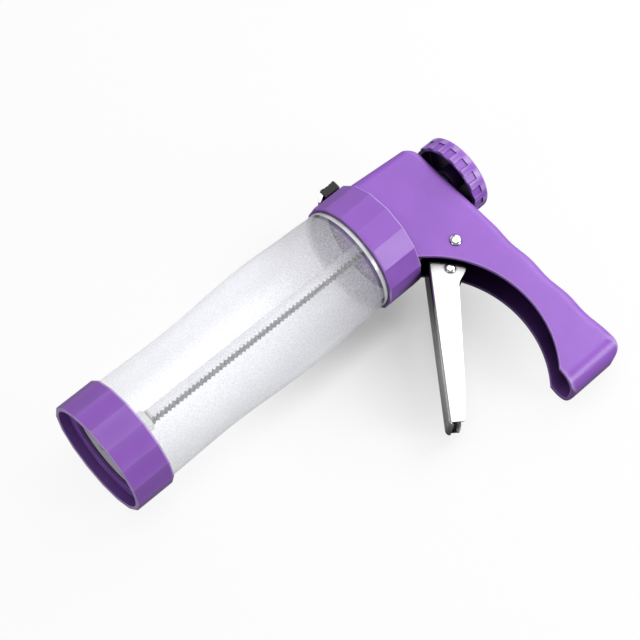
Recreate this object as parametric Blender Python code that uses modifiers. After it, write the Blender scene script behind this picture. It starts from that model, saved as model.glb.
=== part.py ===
"""Hand cookie press: a frosted barrel between two faceted rings, a toothed plunger rod with a
knob, and a pistol-grip housing that holds the trigger and its drive.

Lengths are in metres. The press frame has X along the rod from the nozzle to the knob, Y up
from the rod away from the handle, and Z to the side. The whole press hangs from one empty that
rolls it onto its side, so that both rings and the tip of the handle lie on the floor.
"""
import bpy
import bmesh
from math import asin, atan2, cos, hypot, pi, radians, sin, sqrt
from mathutils import Matrix, Vector

mm = 0.001

# Clearances that every fit is worked out from
seat_gap = 0.3 * mm
running_gap = 0.5 * mm
cut_overrun = 1.0 * mm
merge_distance = 0.001 * mm
face_ease = 0.05 * mm
round_steps = 48
medium_steps = 36
small_steps = 20
dome_turns = (0.0, pi / 5, pi / 3)
arm_steps = 14
fine_corner_points = 3
full_corner_points = 4

# The two faceted rings
ring_corner_radius = 31.0 * mm
ring_facets = 16
ring_chamfer = 0.7 * mm
front_ring_length = 22.4 * mm
front_ring_turn = radians(17.5)
ring_wall = 1.9 * mm
mouth_rim = 2.0 * mm
mouth_depth = 5.8 * mm
lip_width = 4.4 * mm
lip_thickness = 2.0 * mm

# Cookie disc held behind the lip of the front ring
disc_thickness = 1.2 * mm
petal_count = 6
petal_inner_share = 0.25
petal_outer_share = 0.66
petal_width_share = 0.158
eye_share = 0.108

# Barrel
barrel_wall = 1.8 * mm
barrel_shown_length = 140.8 * mm
neck_swell = 0.5 * mm
waist_dip = 0.1 * mm
belly_swell = 2.2 * mm
shoulder_swell = 1.2 * mm
bead_swell = 0.7 * mm
bead_length = 3.2 * mm
bead_groove = 0.5 * mm
waist_share = 0.27
belly_share = 0.68
shoulder_share = 0.90
curve_points = 4
mouth_edge = 0.5 * mm

# Rear ring, which holds the barrel and the brake plate
collar_length = 21.1 * mm
socket_depth = 10.3 * mm
bulkhead = 3.0 * mm
brake_bay_width = 18.0 * mm
brake_bay_top_wall = 5.4 * mm
brake_bay_low_wall = 4.9 * mm

# Plunger rod with teeth along one side
rod_radius = 4.0 * mm
rod_steps = 16
tooth_pitch = 2.5 * mm
tooth_crest = 3.7 * mm
tooth_root = 2.5 * mm
tooth_run_length = 165.0 * mm
toothless_end = 2.0 * mm
rod_nose_radius = 3.0 * mm

# Piston
piston_gap = 1.8 * mm
piston_wall = 1.8 * mm
piston_length = 12.0 * mm
hub_length = 20.0 * mm
hub_front_radius = 7.0 * mm
hub_back_radius = 5.6 * mm
hub_socket_depth = 10.0 * mm
seal_width = 3.0 * mm
seal_depth = 1.6 * mm
seal_from_face = 3.4 * mm
piston_ribs = 6
rib_thickness = 1.4 * mm
rib_height = 6.0 * mm

# Screw that holds the piston on the rod
screw_head_radius = 4.0 * mm
screw_head_height = 1.6 * mm
screw_shank_radius = 1.6 * mm
screw_length = 15.0 * mm
drive_slot_width = 0.9 * mm
drive_slot_depth = 0.8 * mm

# Housing with its handle
housing_width = 25.0 * mm
housing_wall = 2.2 * mm
housing_top_step = 3.5 * mm
housing_depth = 44.6 * mm
front_wall = 2.4 * mm
back_lean = radians(1.1)
top_back_corner = 9.0 * mm
tip_back_corner = 8.0 * mm
top_edge_radius = 5.0 * mm
back_edge_radius = 5.0 * mm
tip_edge_radius = 10.0 * mm
throat_drop = 24.7 * mm
lip_drop = 113.8 * mm
tip_drop = 126.5 * mm
tip_depth = 34.0 * mm
tip_lip_corner = 2.5 * mm
grip_arc_sagitta = 20.7 * mm
grip_steps = 14
wave_depth = 0.9 * mm
wave_top_drop = 36.0 * mm
wave_length = 26.0 * mm
wave_count = 3
wave_points = 4
corner_points = 4

# Trigger pivot and its pin
pivot_back = 21.5 * mm
pivot_drop = 30.8 * mm
pin_radius = 2.5 * mm
pin_head_radius = 3.1 * mm
pin_head_height = 1.1 * mm
boss_radius = 6.0 * mm

# Trigger, a folded steel channel that leans forward at rest
trigger_lean = radians(36.8)
trigger_sheet = 1.0 * mm
trigger_width = 16.0 * mm
trigger_web_offset = 14.7 * mm
trigger_reach = 96.0 * mm
trigger_end_depth = 7.6 * mm
trigger_low_depth = 9.5 * mm
trigger_low_reach = 84.0 * mm
trigger_high_depth = 14.4 * mm
trigger_high_reach = 21.0 * mm
ear_step_depth = 3.4 * mm
ear_step_length = 5.0 * mm
ear_radius = 7.2 * mm
past_ears = 21.6 * mm
ear_top_reach = 2.0 * mm
ear_low_reach = 5.8 * mm
ear_low_corner = 4.3 * mm
ear_back_corner = 6.5 * mm
ear_front_corner = 3.6 * mm
trigger_end_corner = 4.5 * mm
trigger_fold_radius = 1.6 * mm
trigger_web_corner = 1.0 * mm
trigger_end_round = 6.0 * mm

# Cross rivet and the pusher arm inside the trigger
rivet_reach = 13.2 * mm
rivet_ahead = 3.8 * mm
rivet_radius = 1.9 * mm
rivet_head_radius = 2.7 * mm
rivet_head_height = 0.9 * mm
arm_thickness = 4.0 * mm
arm_hub_radius = 6.0 * mm
arm_rivet_hub_radius = 4.2 * mm
arm_nose_radius = 2.5 * mm
arm_nose_rise = 20.8 * mm
arm_nose_back = 5.8 * mm
arm_elbow_radius = 3.0 * mm
arm_elbow_rise = 10.8 * mm
arm_elbow_back = 6.6 * mm
spacer_radius = 4.6 * mm

# Drive plate and its spring round the rod
drive_plate_thickness = 2.0 * mm
drive_plate_width = 15.0 * mm
drive_plate_top = 11.0 * mm
drive_plate_bottom = 14.5 * mm
plate_corner = 2.5 * mm
drive_wire_radius = 0.7 * mm
drive_turns = 6
brake_wire_radius = 0.35 * mm
brake_turns = 2
turn_points = 10
spring_ease = 1.0 * mm

# Brake plate with the release cap on its end
brake_sheet = 1.5 * mm
brake_plate_width = 15.0 * mm
brake_shoulder_drop = 8.0 * mm
brake_tongue_width = 9.0 * mm
brake_pivot_lift = 1.5 * mm
brake_from_back = 2.0 * mm
brake_swing = radians(2.5)
cap_rise = 5.3 * mm
cap_length = 9.6 * mm
cap_width = 12.0 * mm
cap_overhang = 0.9 * mm
ramp_length = 4.6 * mm
cap_lift = 1.1 * mm
cap_pocket_depth = 1.0 * mm
cap_edge = 0.5 * mm
cap_skin = 0.9 * mm
ramp_foot = 0.8 * mm

# Knob
knob_radius = 21.4 * mm
knob_length = 9.2 * mm
knob_wall = 1.8 * mm
knob_back_wall = 2.2 * mm
knob_crown = 1.2 * mm
knob_edge = 1.0 * mm
knob_hub_radius = 6.5 * mm
knob_gap = 2.2 * mm
knob_notches = 16
knob_notch_depth = 0.7 * mm
knob_notch_length = 5.4 * mm
knob_notch_share = 0.5

# Screw that holds the knob on the rod
knob_screw_length = 9.0 * mm
knob_screw_sink = 0.6 * mm

# Guide bush of the rod in the back wall
bush_wall = 1.6 * mm
bush_flange = 1.6 * mm

# Stations along the rod, worked out from the sizes above
ring_flat_radius = ring_corner_radius * cos(pi / ring_facets)
ring_bore_radius = ring_flat_radius - ring_wall
mouth_radius = ring_flat_radius - mouth_rim
lip_radius = mouth_radius - lip_width
lip_back_x = mouth_depth + lip_thickness
disc_x = lip_back_x + seat_gap
barrel_front_x = disc_x + disc_thickness + seat_gap
barrel_end_radius = ring_bore_radius - running_gap
bore_radius = barrel_end_radius - barrel_wall
neck_radius = barrel_end_radius + neck_swell
waist_radius = barrel_end_radius - waist_dip
belly_radius = barrel_end_radius + belly_swell
shoulder_radius = barrel_end_radius + shoulder_swell
bead_radius = barrel_end_radius + bead_swell
disc_eye_radius = lip_radius * eye_share
petal_width = lip_radius * petal_width_share
petal_inner_radius = lip_radius * petal_inner_share
petal_outer_radius = lip_radius * petal_outer_share
disc_radius = ring_bore_radius - running_gap
brake_bay_top = ring_flat_radius - brake_bay_top_wall
brake_bay_bottom = ring_flat_radius - brake_bay_low_wall
brake_pivot_drop = brake_bay_bottom - brake_pivot_lift
brake_shoulder = brake_bay_top - brake_shoulder_drop
housing_top = ring_corner_radius - housing_top_step
collar_front_x = front_ring_length + barrel_shown_length
collar_back_x = collar_front_x + collar_length
bulkhead_x = collar_front_x + socket_depth
bay_x = bulkhead_x + bulkhead
barrel_back_x = bulkhead_x - seat_gap
collar_bore_radius = barrel_end_radius + running_gap
housing_front_x = collar_back_x + seat_gap
housing_back_x = housing_front_x + housing_depth
housing_half = housing_width / 2
inner_half = housing_half - housing_wall
rod_hole_radius = rod_radius + running_gap
piston_front_x = barrel_front_x + piston_gap
piston_radius = bore_radius - running_gap
hub_back_x = piston_front_x + hub_length
rod_front_x = hub_back_x - hub_socket_depth + seat_gap
tooth_front_x = hub_back_x + toothless_end
pivot_x = housing_front_x + pivot_back
knob_front_x = housing_back_x + knob_gap
knob_back_x = knob_front_x + knob_length
rod_back_x = knob_back_x - knob_back_wall - seat_gap
drive_plate_back_x = pivot_x + arm_nose_back - arm_nose_radius - seat_gap
drive_plate_front_x = drive_plate_back_x - drive_plate_thickness
brake_back_x = collar_back_x - brake_from_back
brake_front_x = brake_back_x - brake_sheet
brake_x = (brake_front_x + brake_back_x) / 2
cap_base_y = ring_corner_radius - cap_pocket_depth + cap_lift
cap_top_y = ring_corner_radius + cap_rise
cap_back_x = collar_back_x + cap_overhang
cap_front_x = cap_back_x - cap_length
ramp_front_x = cap_front_x - ramp_length
cap_travel = (cap_top_y + brake_pivot_drop) * sin(brake_swing)
pocket_floor_y = ring_corner_radius - cap_pocket_depth

# The roll that lays a flat of the rings and the rounded tip of the handle on the floor
tip_centre_y = tip_drop - tip_edge_radius
tip_centre_z = housing_half - tip_edge_radius
rest_roll = (asin((ring_flat_radius - tip_edge_radius) / hypot(tip_centre_y, tip_centre_z))
             - atan2(tip_centre_z, tip_centre_y))


def start_scene():
    """Empty the scene and make the collections for the press and for its cutters."""
    for old in list(bpy.data.objects):
        bpy.data.objects.remove(old, do_unlink=True)
    made = []
    for name in ("cookie_press", "press_cutters"):
        group = bpy.data.collections.new(name)
        bpy.context.scene.collection.children.link(group)
        made.append(group)
    return made


press, cutters = start_scene()


def material(name, colour, roughness, metallic=0.0):
    """A Principled material of one colour."""
    made = bpy.data.materials.new(name)
    made.use_nodes = True
    shader = made.node_tree.nodes["Principled BSDF"]
    shader.inputs["Base Color"].default_value = (*colour, 1.0)
    shader.inputs["Roughness"].default_value = roughness
    shader.inputs["Metallic"].default_value = metallic
    made.diffuse_color = (*colour, 1.0)
    return made


purple_plastic = material("purple_plastic", (0.31, 0.12, 0.52), 0.35)
frosted_plastic = material("frosted_plastic", (0.86, 0.87, 0.88), 0.4)
white_plastic = material("white_plastic", (0.8, 0.8, 0.8), 0.4)
silicone = material("silicone", (0.72, 0.74, 0.78), 0.6)
black_plastic = material("black_plastic", (0.012, 0.012, 0.014), 0.4)
polished_steel = material("polished_steel", (0.66, 0.66, 0.67), 0.15, 1.0)
zinc_steel = material("zinc_steel", (0.5, 0.5, 0.5), 0.35, 1.0)
aluminium = material("aluminium", (0.7, 0.71, 0.72), 0.3, 1.0)
spring_wire = material("spring_wire", (0.4, 0.4, 0.42), 0.3, 1.0)


def empty(name, parent=None, at=(0, 0, 0), turn=(0, 0, 0)):
    """An empty that stands for a joint's axis or for the frame of a group."""
    made = bpy.data.objects.new(name, None)
    press.objects.link(made)
    made.parent = parent
    made.location = at
    made.rotation_euler = turn
    made.empty_display_size = ring_corner_radius
    return made


# The press frame, and one empty on the axis of each joint
press_frame = empty("press_frame", turn=(rest_roll, 0, 0))
barrel_axis = empty("barrel_axis", press_frame, (barrel_back_x, 0, 0))
disc_axis = empty("disc_axis", barrel_axis, (disc_x - barrel_back_x, 0, 0))
front_ring_axis = empty("front_ring_axis", disc_axis, (-disc_x, 0, 0))
piston_axis = empty("piston_axis", press_frame, (piston_front_x, 0, 0))
rod_axis = empty("rod_axis", piston_axis, (rod_front_x - piston_front_x, 0, 0))
trigger_axis = empty("trigger_axis", press_frame, (pivot_x, -pivot_drop, 0), (0, 0, -trigger_lean))
drive_axis = empty("drive_axis", press_frame, (drive_plate_front_x, 0, 0))
brake_axis = empty("brake_axis", press_frame, (brake_x, -brake_pivot_drop, 0))

along_x = Matrix.Rotation(pi / 2, 4, "Y")
outline_yz = Matrix.Rotation(pi / 2, 4, "Z") @ Matrix.Rotation(pi / 2, 4, "X")
outline_xz = Matrix.Rotation(pi / 2, 4, "X")


def shift(x=0.0, y=0.0, z=0.0):
    """A move, as a matrix."""
    return Matrix.Translation((x, y, z))


def place(obj, group, parent, matrix, finish=None):
    """Link a made object, hang it on its parent at a place in the press frame, and paint it."""
    group.objects.link(obj)
    bpy.context.view_layer.update()
    obj.parent = parent
    start = press_frame.matrix_world.inverted() @ parent.matrix_world
    obj.matrix_local = start.inverted() @ matrix
    if finish:
        obj.data.materials.append(finish)
    if group is cutters:
        obj.hide_render = True
        obj.display_type = "WIRE"
    return obj


def shade(obj):
    """Smooth shading with the real corners kept sharp."""
    obj.data.shade_smooth()
    obj.data.set_sharp_from_angle(angle=radians(35))
    return obj


def turned(name, profile, closed, steps, group, parent, matrix, finish=None):
    """A turned shape: (radius, height) points down the outer side, spun about local Z."""
    mesh = bpy.data.meshes.new(name)
    edges = [(i, i + 1) for i in range(len(profile) - 1)]
    if closed:
        edges.append((len(profile) - 1, 0))
    mesh.from_pydata([(radius, 0.0, height) for radius, height in profile], edges, [])
    obj = bpy.data.objects.new(name, mesh)
    spin = obj.modifiers.new("spin", "SCREW")
    spin.axis = "Z"
    spin.steps = steps
    spin.render_steps = steps
    spin.use_merge_vertices = True
    spin.merge_threshold = merge_distance
    spin.use_smooth_shade = True
    return place(obj, group, parent, matrix, finish)


def plate(name, outlines, half_thickness, group, parent, matrix, finish=None):
    """A flat outline, with any holes after it, made as thick as a filled curve extrudes."""
    curve = bpy.data.curves.new(name, "CURVE")
    curve.dimensions = "2D"
    curve.fill_mode = "BOTH"
    curve.extrude = half_thickness
    for outline in outlines:
        spline = curve.splines.new("POLY")
        spline.points.add(len(outline) - 1)
        for point, (x, y) in zip(spline.points, outline):
            point.co = (x, y, 0.0, 1.0)
        spline.use_cyclic_u = True
    return place(mesh_object(name, curve), group, parent, matrix, finish)


def mesh_object(name, curve):
    """Make a curve a welded mesh object, and remove the curve."""
    drawn = bpy.data.objects.new(name + "_curve", curve)
    press.objects.link(drawn)
    view = bpy.context.evaluated_depsgraph_get()
    mesh = bpy.data.meshes.new_from_object(drawn.evaluated_get(view))
    bpy.data.objects.remove(drawn, do_unlink=True)
    work = bmesh.new()
    work.from_mesh(mesh)
    bmesh.ops.remove_doubles(work, verts=work.verts, dist=merge_distance)
    bmesh.ops.recalc_face_normals(work, faces=work.faces)
    work.to_mesh(mesh)
    work.free()
    return bpy.data.objects.new(name, mesh)


def block(name, low, high, group, parent, finish=None):
    """A box between two corners of the press frame."""
    mesh = bpy.data.meshes.new(name)
    work = bmesh.new()
    bmesh.ops.create_cube(work, size=1)
    size = [b - a for a, b in zip(low, high)]
    middle = [(a + b) / 2 for a, b in zip(low, high)]
    bmesh.ops.scale(work, verts=work.verts, vec=size)
    work.to_mesh(mesh)
    work.free()
    return place(bpy.data.objects.new(name, mesh), group, parent, shift(*middle), finish)


def rod_shape(name, radius, length, steps, group, parent, matrix, finish=None):
    """A round or faceted bar about local Z, from zero up."""
    mesh = bpy.data.meshes.new(name)
    work = bmesh.new()
    bmesh.ops.create_cone(work, cap_ends=True, segments=steps, radius1=radius, radius2=radius,
                          depth=length, matrix=shift(z=length / 2))
    work.to_mesh(mesh)
    work.free()
    return place(bpy.data.objects.new(name, mesh), group, parent, matrix, finish)


def combine(obj, other, operation):
    """Cut, join or intersect with another object through an exact Boolean."""
    step = obj.modifiers.new(operation.lower() + "_" + other.name, "BOOLEAN")
    step.operation = operation
    step.solver = "EXACT"
    step.object = other
    return obj


def bevel(obj, width, segments=1):
    """Break the sharp edges of a shape."""
    step = obj.modifiers.new("bevel", "BEVEL")
    step.width = width
    step.segments = segments
    step.limit_method = "ANGLE"
    step.angle_limit = radians(20)
    return obj


def rounded(corners, points=corner_points):
    """An outline whose corners (x, y, radius) are drawn as arcs."""
    outline = []
    count = len(corners)
    for i, (x, y, radius) in enumerate(corners):
        here = Vector((x, y))
        if radius <= 0:
            outline.append((x, y))
            continue
        back = (Vector(corners[i - 1][:2]) - here).normalized()
        ahead = (Vector(corners[(i + 1) % count][:2]) - here).normalized()
        half = back.angle(ahead) / 2
        centre = here + (back + ahead).normalized() * (radius / sin(half))
        start = here + back * (radius / (sin(half) / cos(half))) - centre
        end = here + ahead * (radius / (sin(half) / cos(half))) - centre
        sweep = start.angle_signed(end)
        for step in range(points + 1):
            turn = -sweep * step / points
            outline.append((centre.x + start.x * cos(turn) - start.y * sin(turn),
                            centre.y + start.x * sin(turn) + start.y * cos(turn)))
    return outline


def arc_between(start, end, sagitta, points):
    """Points of the circular arc that bulges by its sagitta to the left of start to end."""
    a, b = Vector(start), Vector(end)
    chord = b - a
    radius = (chord.length_squared / 4 + sagitta * sagitta) / (2 * sagitta)
    side = Vector((-chord.y, chord.x)).normalized()
    centre = (a + b) / 2 + side * (sagitta - radius)
    first = a - centre
    sweep = 2 * asin(min(1.0, chord.length / (2 * radius)))
    turns = [-sweep * i / points for i in range(points + 1)]
    return [(centre.x + first.x * cos(t) - first.y * sin(t),
             centre.y + first.x * sin(t) + first.y * cos(t)) for t in turns]


def circle(x, y, radius, points):
    """A round outline."""
    turns = [2 * pi * i / points for i in range(points)]
    return [(x + radius * cos(t), y + radius * sin(t)) for t in turns]


def strip(path, half):
    """Outline of a strip of even thickness along a path of straight runs."""
    spots = [Vector(spot) for spot in path]
    runs = [(b - a).normalized() for a, b in zip(spots, spots[1:])]
    left, right = [], []
    for i, spot in enumerate(spots):
        before = runs[max(i - 1, 0)]
        after = runs[min(i, len(runs) - 1)]
        normal = Vector((-before.y - after.y, before.x + after.x)).normalized()
        reach = half / normal.dot(Vector((-after.y, after.x)))
        left.append(tuple(spot + normal * reach))
        right.append(tuple(spot - normal * reach))
    return left + right[::-1]


def least_gap(spots, wire, apart):
    """Least gap between the turns of a wire, from its own centre points."""
    return min((a - b).length for i, a in enumerate(spots) for b in spots[i + apart:]) - 2 * wire


def solid_profile(*pairs):
    """A turned profile that starts and ends on the axis."""
    return [(0.0, pairs[0][1]), *pairs, (0.0, pairs[-1][1])]


def faceted_ring(name, front_x, length, turn, parent):
    """The outside of a ring: a many-sided bar with its edges broken."""
    matrix = shift(x=front_x) @ along_x @ Matrix.Rotation(turn, 4, "Z")
    ring = rod_shape(name, ring_corner_radius, length, ring_facets, press, parent, matrix,
                     purple_plastic)
    return bevel(ring, ring_chamfer)


def front_ring():
    """Screwed ring that holds the disc: mouth, lip, and threaded bore behind the lip."""
    ring = faceted_ring("front_ring", 0.0, front_ring_length, front_ring_turn, front_ring_axis)
    bore = turned("front_ring_bore", solid_profile(
        (ring_bore_radius, front_ring_length + cut_overrun),
        (ring_bore_radius, lip_back_x),
        (lip_radius, lip_back_x),
        (lip_radius, mouth_depth),
        (mouth_radius, mouth_depth),
        (mouth_radius, -cut_overrun)), False, round_steps, cutters, front_ring_axis, along_x)
    return combine(ring, bore, "DIFFERENCE")


def cookie_disc():
    """Stamped disc: a round eye with petals round it, each a slot with round ends."""
    holes = [circle(0.0, 0.0, disc_eye_radius, small_steps // 2)]
    half = petal_width / 2
    for i in range(petal_count):
        turn = 2 * pi * i / petal_count
        slot = rounded([(petal_inner_radius, -half, half), (petal_outer_radius, -half, half),
                        (petal_outer_radius, half, half), (petal_inner_radius, half, half)],
                       fine_corner_points)
        holes.append([(x * cos(turn) - y * sin(turn), x * sin(turn) + y * cos(turn)) for x, y in slot])
    outline = circle(0.0, 0.0, disc_radius, round_steps)
    return plate("cookie_disc", [outline, *holes], disc_thickness / 2, press, disc_axis,
                 shift(x=disc_x + disc_thickness / 2) @ outline_yz, aluminium)


def barrel_outline():
    """Outer side from the back end to the front end: bead, shoulder, belly, waist and neck."""
    shown = barrel_shown_length - bead_length - bead_groove
    front = front_ring_length
    stations = [(0.0, neck_radius), (waist_share, waist_radius), (belly_share, belly_radius),
                (shoulder_share, shoulder_radius), (1.0, bead_radius)]
    curve = []
    for (share_a, radius_a), (share_b, radius_b) in zip(stations, stations[1:]):
        for i in range(curve_points):
            ease = (1 - cos(pi * i / curve_points)) / 2
            share = share_a + (share_b - share_a) * i / curve_points
            curve.append((radius_a + (radius_b - radius_a) * ease, front + shown * share))
    bead_front = front + shown + bead_groove
    curve += [(bead_radius - bead_groove, front + shown), (bead_radius - bead_groove, bead_front),
              (bead_radius, bead_front + bead_groove), (bead_radius, collar_front_x - seat_gap),
              (barrel_end_radius, collar_front_x - seat_gap), (barrel_end_radius, barrel_back_x)]
    return curve[::-1]


def barrel():
    """Moulded barrel: a straight bore in an outside that swells towards the back."""
    outer = barrel_outline()
    front = [(neck_radius, front_ring_length + seat_gap), (barrel_end_radius, front_ring_length + seat_gap),
             (barrel_end_radius, barrel_front_x)]
    inner = [(bore_radius, barrel_front_x), (bore_radius, barrel_back_x - mouth_edge),
             (bore_radius + mouth_edge, barrel_back_x)]
    profile = outer[:-1] + front + inner
    return turned("barrel", profile, True, round_steps, press, barrel_axis, along_x, frosted_plastic)


def rear_ring():
    """Faceted collar: socket for the barrel, bulkhead, bay for the brake plate, slot for its end."""
    flat_turn = (-pi / 2 - rest_roll) - pi / ring_facets
    ring = faceted_ring("rear_ring", collar_front_x, collar_length, flat_turn, press_frame)
    socket = turned("rear_ring_socket", solid_profile(
        (rod_hole_radius, collar_back_x),
        (rod_hole_radius, bulkhead_x),
        (collar_bore_radius, bulkhead_x),
        (collar_bore_radius, collar_front_x - cut_overrun)), False, round_steps, cutters,
        press_frame, along_x)
    bay = block("rear_ring_bay", (bay_x, -brake_bay_bottom, -brake_bay_width / 2),
                (collar_back_x + cut_overrun, brake_bay_top, brake_bay_width / 2), cutters, press_frame)
    slot_half = brake_tongue_width / 2 + running_gap
    slot = block("rear_ring_slot", (bay_x, brake_bay_top - cut_overrun, -slot_half),
                 (collar_back_x + cut_overrun, ring_corner_radius + cut_overrun, slot_half),
                 cutters, press_frame)
    pocket_half = cap_width / 2 + running_gap
    pocket = block("rear_ring_pocket",
                   (ramp_front_x - cap_travel - running_gap, pocket_floor_y, -pocket_half),
                   (collar_back_x + cut_overrun, ring_corner_radius + cut_overrun, pocket_half),
                   cutters, press_frame)
    for cutter in (socket, bay, slot, pocket):
        combine(ring, cutter, "DIFFERENCE")
    return ring


def toothed_rod():
    """Plunger rod: a round bar, one side cut to a rack, with a nose for the piston."""
    body = rod_shape("toothed_rod", rod_radius, rod_back_x - hub_back_x - seat_gap, rod_steps, press,
                     rod_axis, shift(x=hub_back_x + seat_gap) @ along_x
                     @ Matrix.Rotation(pi / rod_steps, 4, "Z"), zinc_steel)
    nose = rod_shape("rod_nose", rod_nose_radius, hub_back_x - rod_front_x + cut_overrun, rod_steps,
                     cutters, rod_axis, shift(x=rod_front_x) @ along_x)
    combine(body, nose, "UNION")
    count = int(tooth_run_length / tooth_pitch)
    outline = [(tooth_front_x, -tooth_crest)]
    for i in range(count):
        start = tooth_front_x + tooth_pitch * i
        outline += [(start + tooth_pitch / 2, -tooth_root), (start + tooth_pitch, -tooth_crest)]
    below = -rod_radius - cut_overrun
    outline += [(outline[-1][0], below), (tooth_front_x, below)]
    teeth = plate("rod_teeth", [outline], rod_radius + cut_overrun, cutters, rod_axis, shift())
    combine(body, teeth, "DIFFERENCE")
    front_tap_x = rod_front_x - cut_overrun
    knob_head_x = knob_back_x + knob_crown - knob_screw_sink - screw_head_height
    back_tap_x = knob_head_x - knob_screw_length - seat_gap
    for name, start, end in (("rod_front_tap", front_tap_x, front_tap_x + screw_length),
                             ("rod_back_tap", back_tap_x, rod_back_x + cut_overrun)):
        tap = rod_shape(name, screw_shank_radius + seat_gap, end - start, small_steps // 2, cutters,
                        rod_axis, shift(x=start) @ along_x)
        combine(body, tap, "DIFFERENCE")
    return body


def piston():
    """Cup-shaped piston: face, skirt with a seal groove, hub for the rod, and ribs between them."""
    face = piston_front_x
    seal_front = face + seal_from_face
    seal_back = seal_front + seal_width
    groove = piston_radius - seal_depth
    skirt_inner = groove - piston_wall
    floor = face + piston_wall
    head_seat = face + screw_head_height + seat_gap
    shank = screw_shank_radius + seat_gap
    socket = rod_nose_radius + seat_gap
    socket_floor = hub_back_x - hub_socket_depth
    profile = [
        (hub_back_radius, hub_back_x), (hub_front_radius, floor), (skirt_inner, floor),
        (skirt_inner, face + piston_length), (piston_radius, face + piston_length),
        (piston_radius, seal_back), (groove, seal_back), (groove, seal_front),
        (piston_radius, seal_front), (piston_radius, face),
        (screw_head_radius + seat_gap, face), (screw_head_radius + seat_gap, head_seat),
        (shank, head_seat), (shank, socket_floor), (socket, socket_floor), (socket, hub_back_x)]
    body = turned("piston", profile, True, medium_steps, press, piston_axis, along_x, white_plastic)
    inner = hub_back_radius + (hub_front_radius - hub_back_radius) / 2
    for i in range(piston_ribs):
        turn = Matrix.Rotation(2 * pi * i / piston_ribs, 4, "X")
        outline = [(floor - piston_wall / 2, inner), (floor + rib_height, inner),
                   (floor + rib_height, skirt_inner + piston_wall / 2),
                   (floor - piston_wall / 2, skirt_inner + piston_wall / 2)]
        rib = plate("piston_rib_%d" % i, [outline], rib_thickness / 2, cutters, piston_axis, turn)
        combine(body, rib, "UNION")
    seal_inner = groove + seat_gap
    seal_outer = bore_radius - seat_gap
    seal_edge = seal_front + seat_gap
    seal = turned("piston_seal", [
        (seal_outer, (seal_front + seal_back) / 2), (seal_inner + seal_depth / 2, seal_edge),
        (seal_inner, seal_edge), (seal_inner, seal_back - seat_gap),
        (seal_inner + seal_depth / 2, seal_back - seat_gap)], True, medium_steps, press, piston_axis,
        along_x, silicone)
    return body, seal


def piston_screw():
    """Slotted pan-head screw through the face of the piston into the rod."""
    seat = piston_front_x + screw_head_height
    tip = rod_front_x - cut_overrun + screw_length - seat_gap
    screw = turned("piston_screw", solid_profile(
        (screw_shank_radius - seat_gap, tip), (screw_shank_radius, tip - seat_gap),
        (screw_shank_radius, seat), (screw_head_radius, seat),
        (screw_head_radius, piston_front_x + seat_gap),
        (screw_head_radius - seat_gap, piston_front_x)), False, small_steps, press, piston_axis,
        along_x, zinc_steel)
    half = drive_slot_width / 2
    reach = screw_head_radius + cut_overrun
    slot = block("screw_slot", (piston_front_x - cut_overrun, -half, -reach),
                 (piston_front_x + drive_slot_depth, half, reach), cutters, piston_axis)
    return combine(screw, slot, "DIFFERENCE")


def back_x(y, inset=0.0):
    """Back of the housing at a height: it leans a little and has shallow finger waves."""
    lean = (housing_top - y) * sin(back_lean)
    below = -wave_top_drop - y
    wave = 0.0
    if 0 <= below <= wave_length * wave_count:
        wave = wave_depth * (1 - cos(2 * pi * below / wave_length)) / 2
    return housing_back_x - inset - (housing_top + tip_drop) * sin(back_lean) / 2 + lean - wave


def housing_side():
    """Side outline: top, leaning back with waves, tip, and the round throat that the hand fills."""
    lip_x = back_x(-lip_drop) - tip_depth
    ys = [-wave_top_drop - wave_length * i / wave_points for i in range(wave_count * wave_points + 1)]
    corners = [(housing_front_x, housing_top, 0), (back_x(housing_top), housing_top, top_back_corner)]
    corners += [(back_x(y), y, 0) for y in ys if y > -tip_drop + tip_back_corner]
    corners += [(back_x(-tip_drop), -tip_drop, tip_back_corner),
                (lip_x - tip_lip_corner / 2, -tip_drop, tip_lip_corner)]
    throat = arc_between((lip_x, -lip_drop), (housing_front_x, -throat_drop), -grip_arc_sagitta,
                         grip_steps)
    return rounded(corners) + throat


def inner_side():
    """Side outline of the hollow, open in front of the handle."""
    top = housing_top - housing_wall
    bottom = -tip_drop + housing_wall
    front = housing_front_x + front_wall
    lip_x = back_x(-lip_drop) - tip_depth - tip_lip_corner - cut_overrun
    inset = housing_wall + wave_depth
    return rounded([(front, top, 0), (back_x(top, inset), top, top_back_corner - housing_wall),
                    (back_x(bottom, inset), bottom, tip_back_corner - housing_wall),
                    (lip_x, bottom, 0), (front, -throat_drop - housing_wall, 0)])


def rounded_block(name, side, half, top, bottom, inset, edge_top, edge_back, edge_tip, group,
                  finish=None):
    """A side outline made thick, then rounded by its end section and by its plan section."""
    body = plate(name, [side], half + cut_overrun, group, press_frame, shift(), finish)
    high = top + face_ease
    low = -bottom - face_ease
    end = plate(name + "_end", [rounded([(high, -half, edge_top), (high, half, edge_top),
                                         (low, half, edge_tip), (low, -half, edge_tip)])],
                housing_depth, cutters, press_frame,
                shift(x=housing_front_x + housing_depth / 2) @ outline_yz)
    back = back_x(0.0) - inset + face_ease
    far = -2 * housing_depth
    wide = half + face_ease
    plan = plate(name + "_plan", [rounded([(far, -wide, 0), (0.0, -wide, edge_back),
                                           (0.0, wide, edge_back), (far, wide, 0)])],
                 top + bottom, cutters, press_frame,
                 shift(x=back) @ Matrix.Rotation(back_lean, 4, "Z") @ outline_xz)
    combine(body, end, "INTERSECT")
    return combine(body, plan, "INTERSECT")


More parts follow.
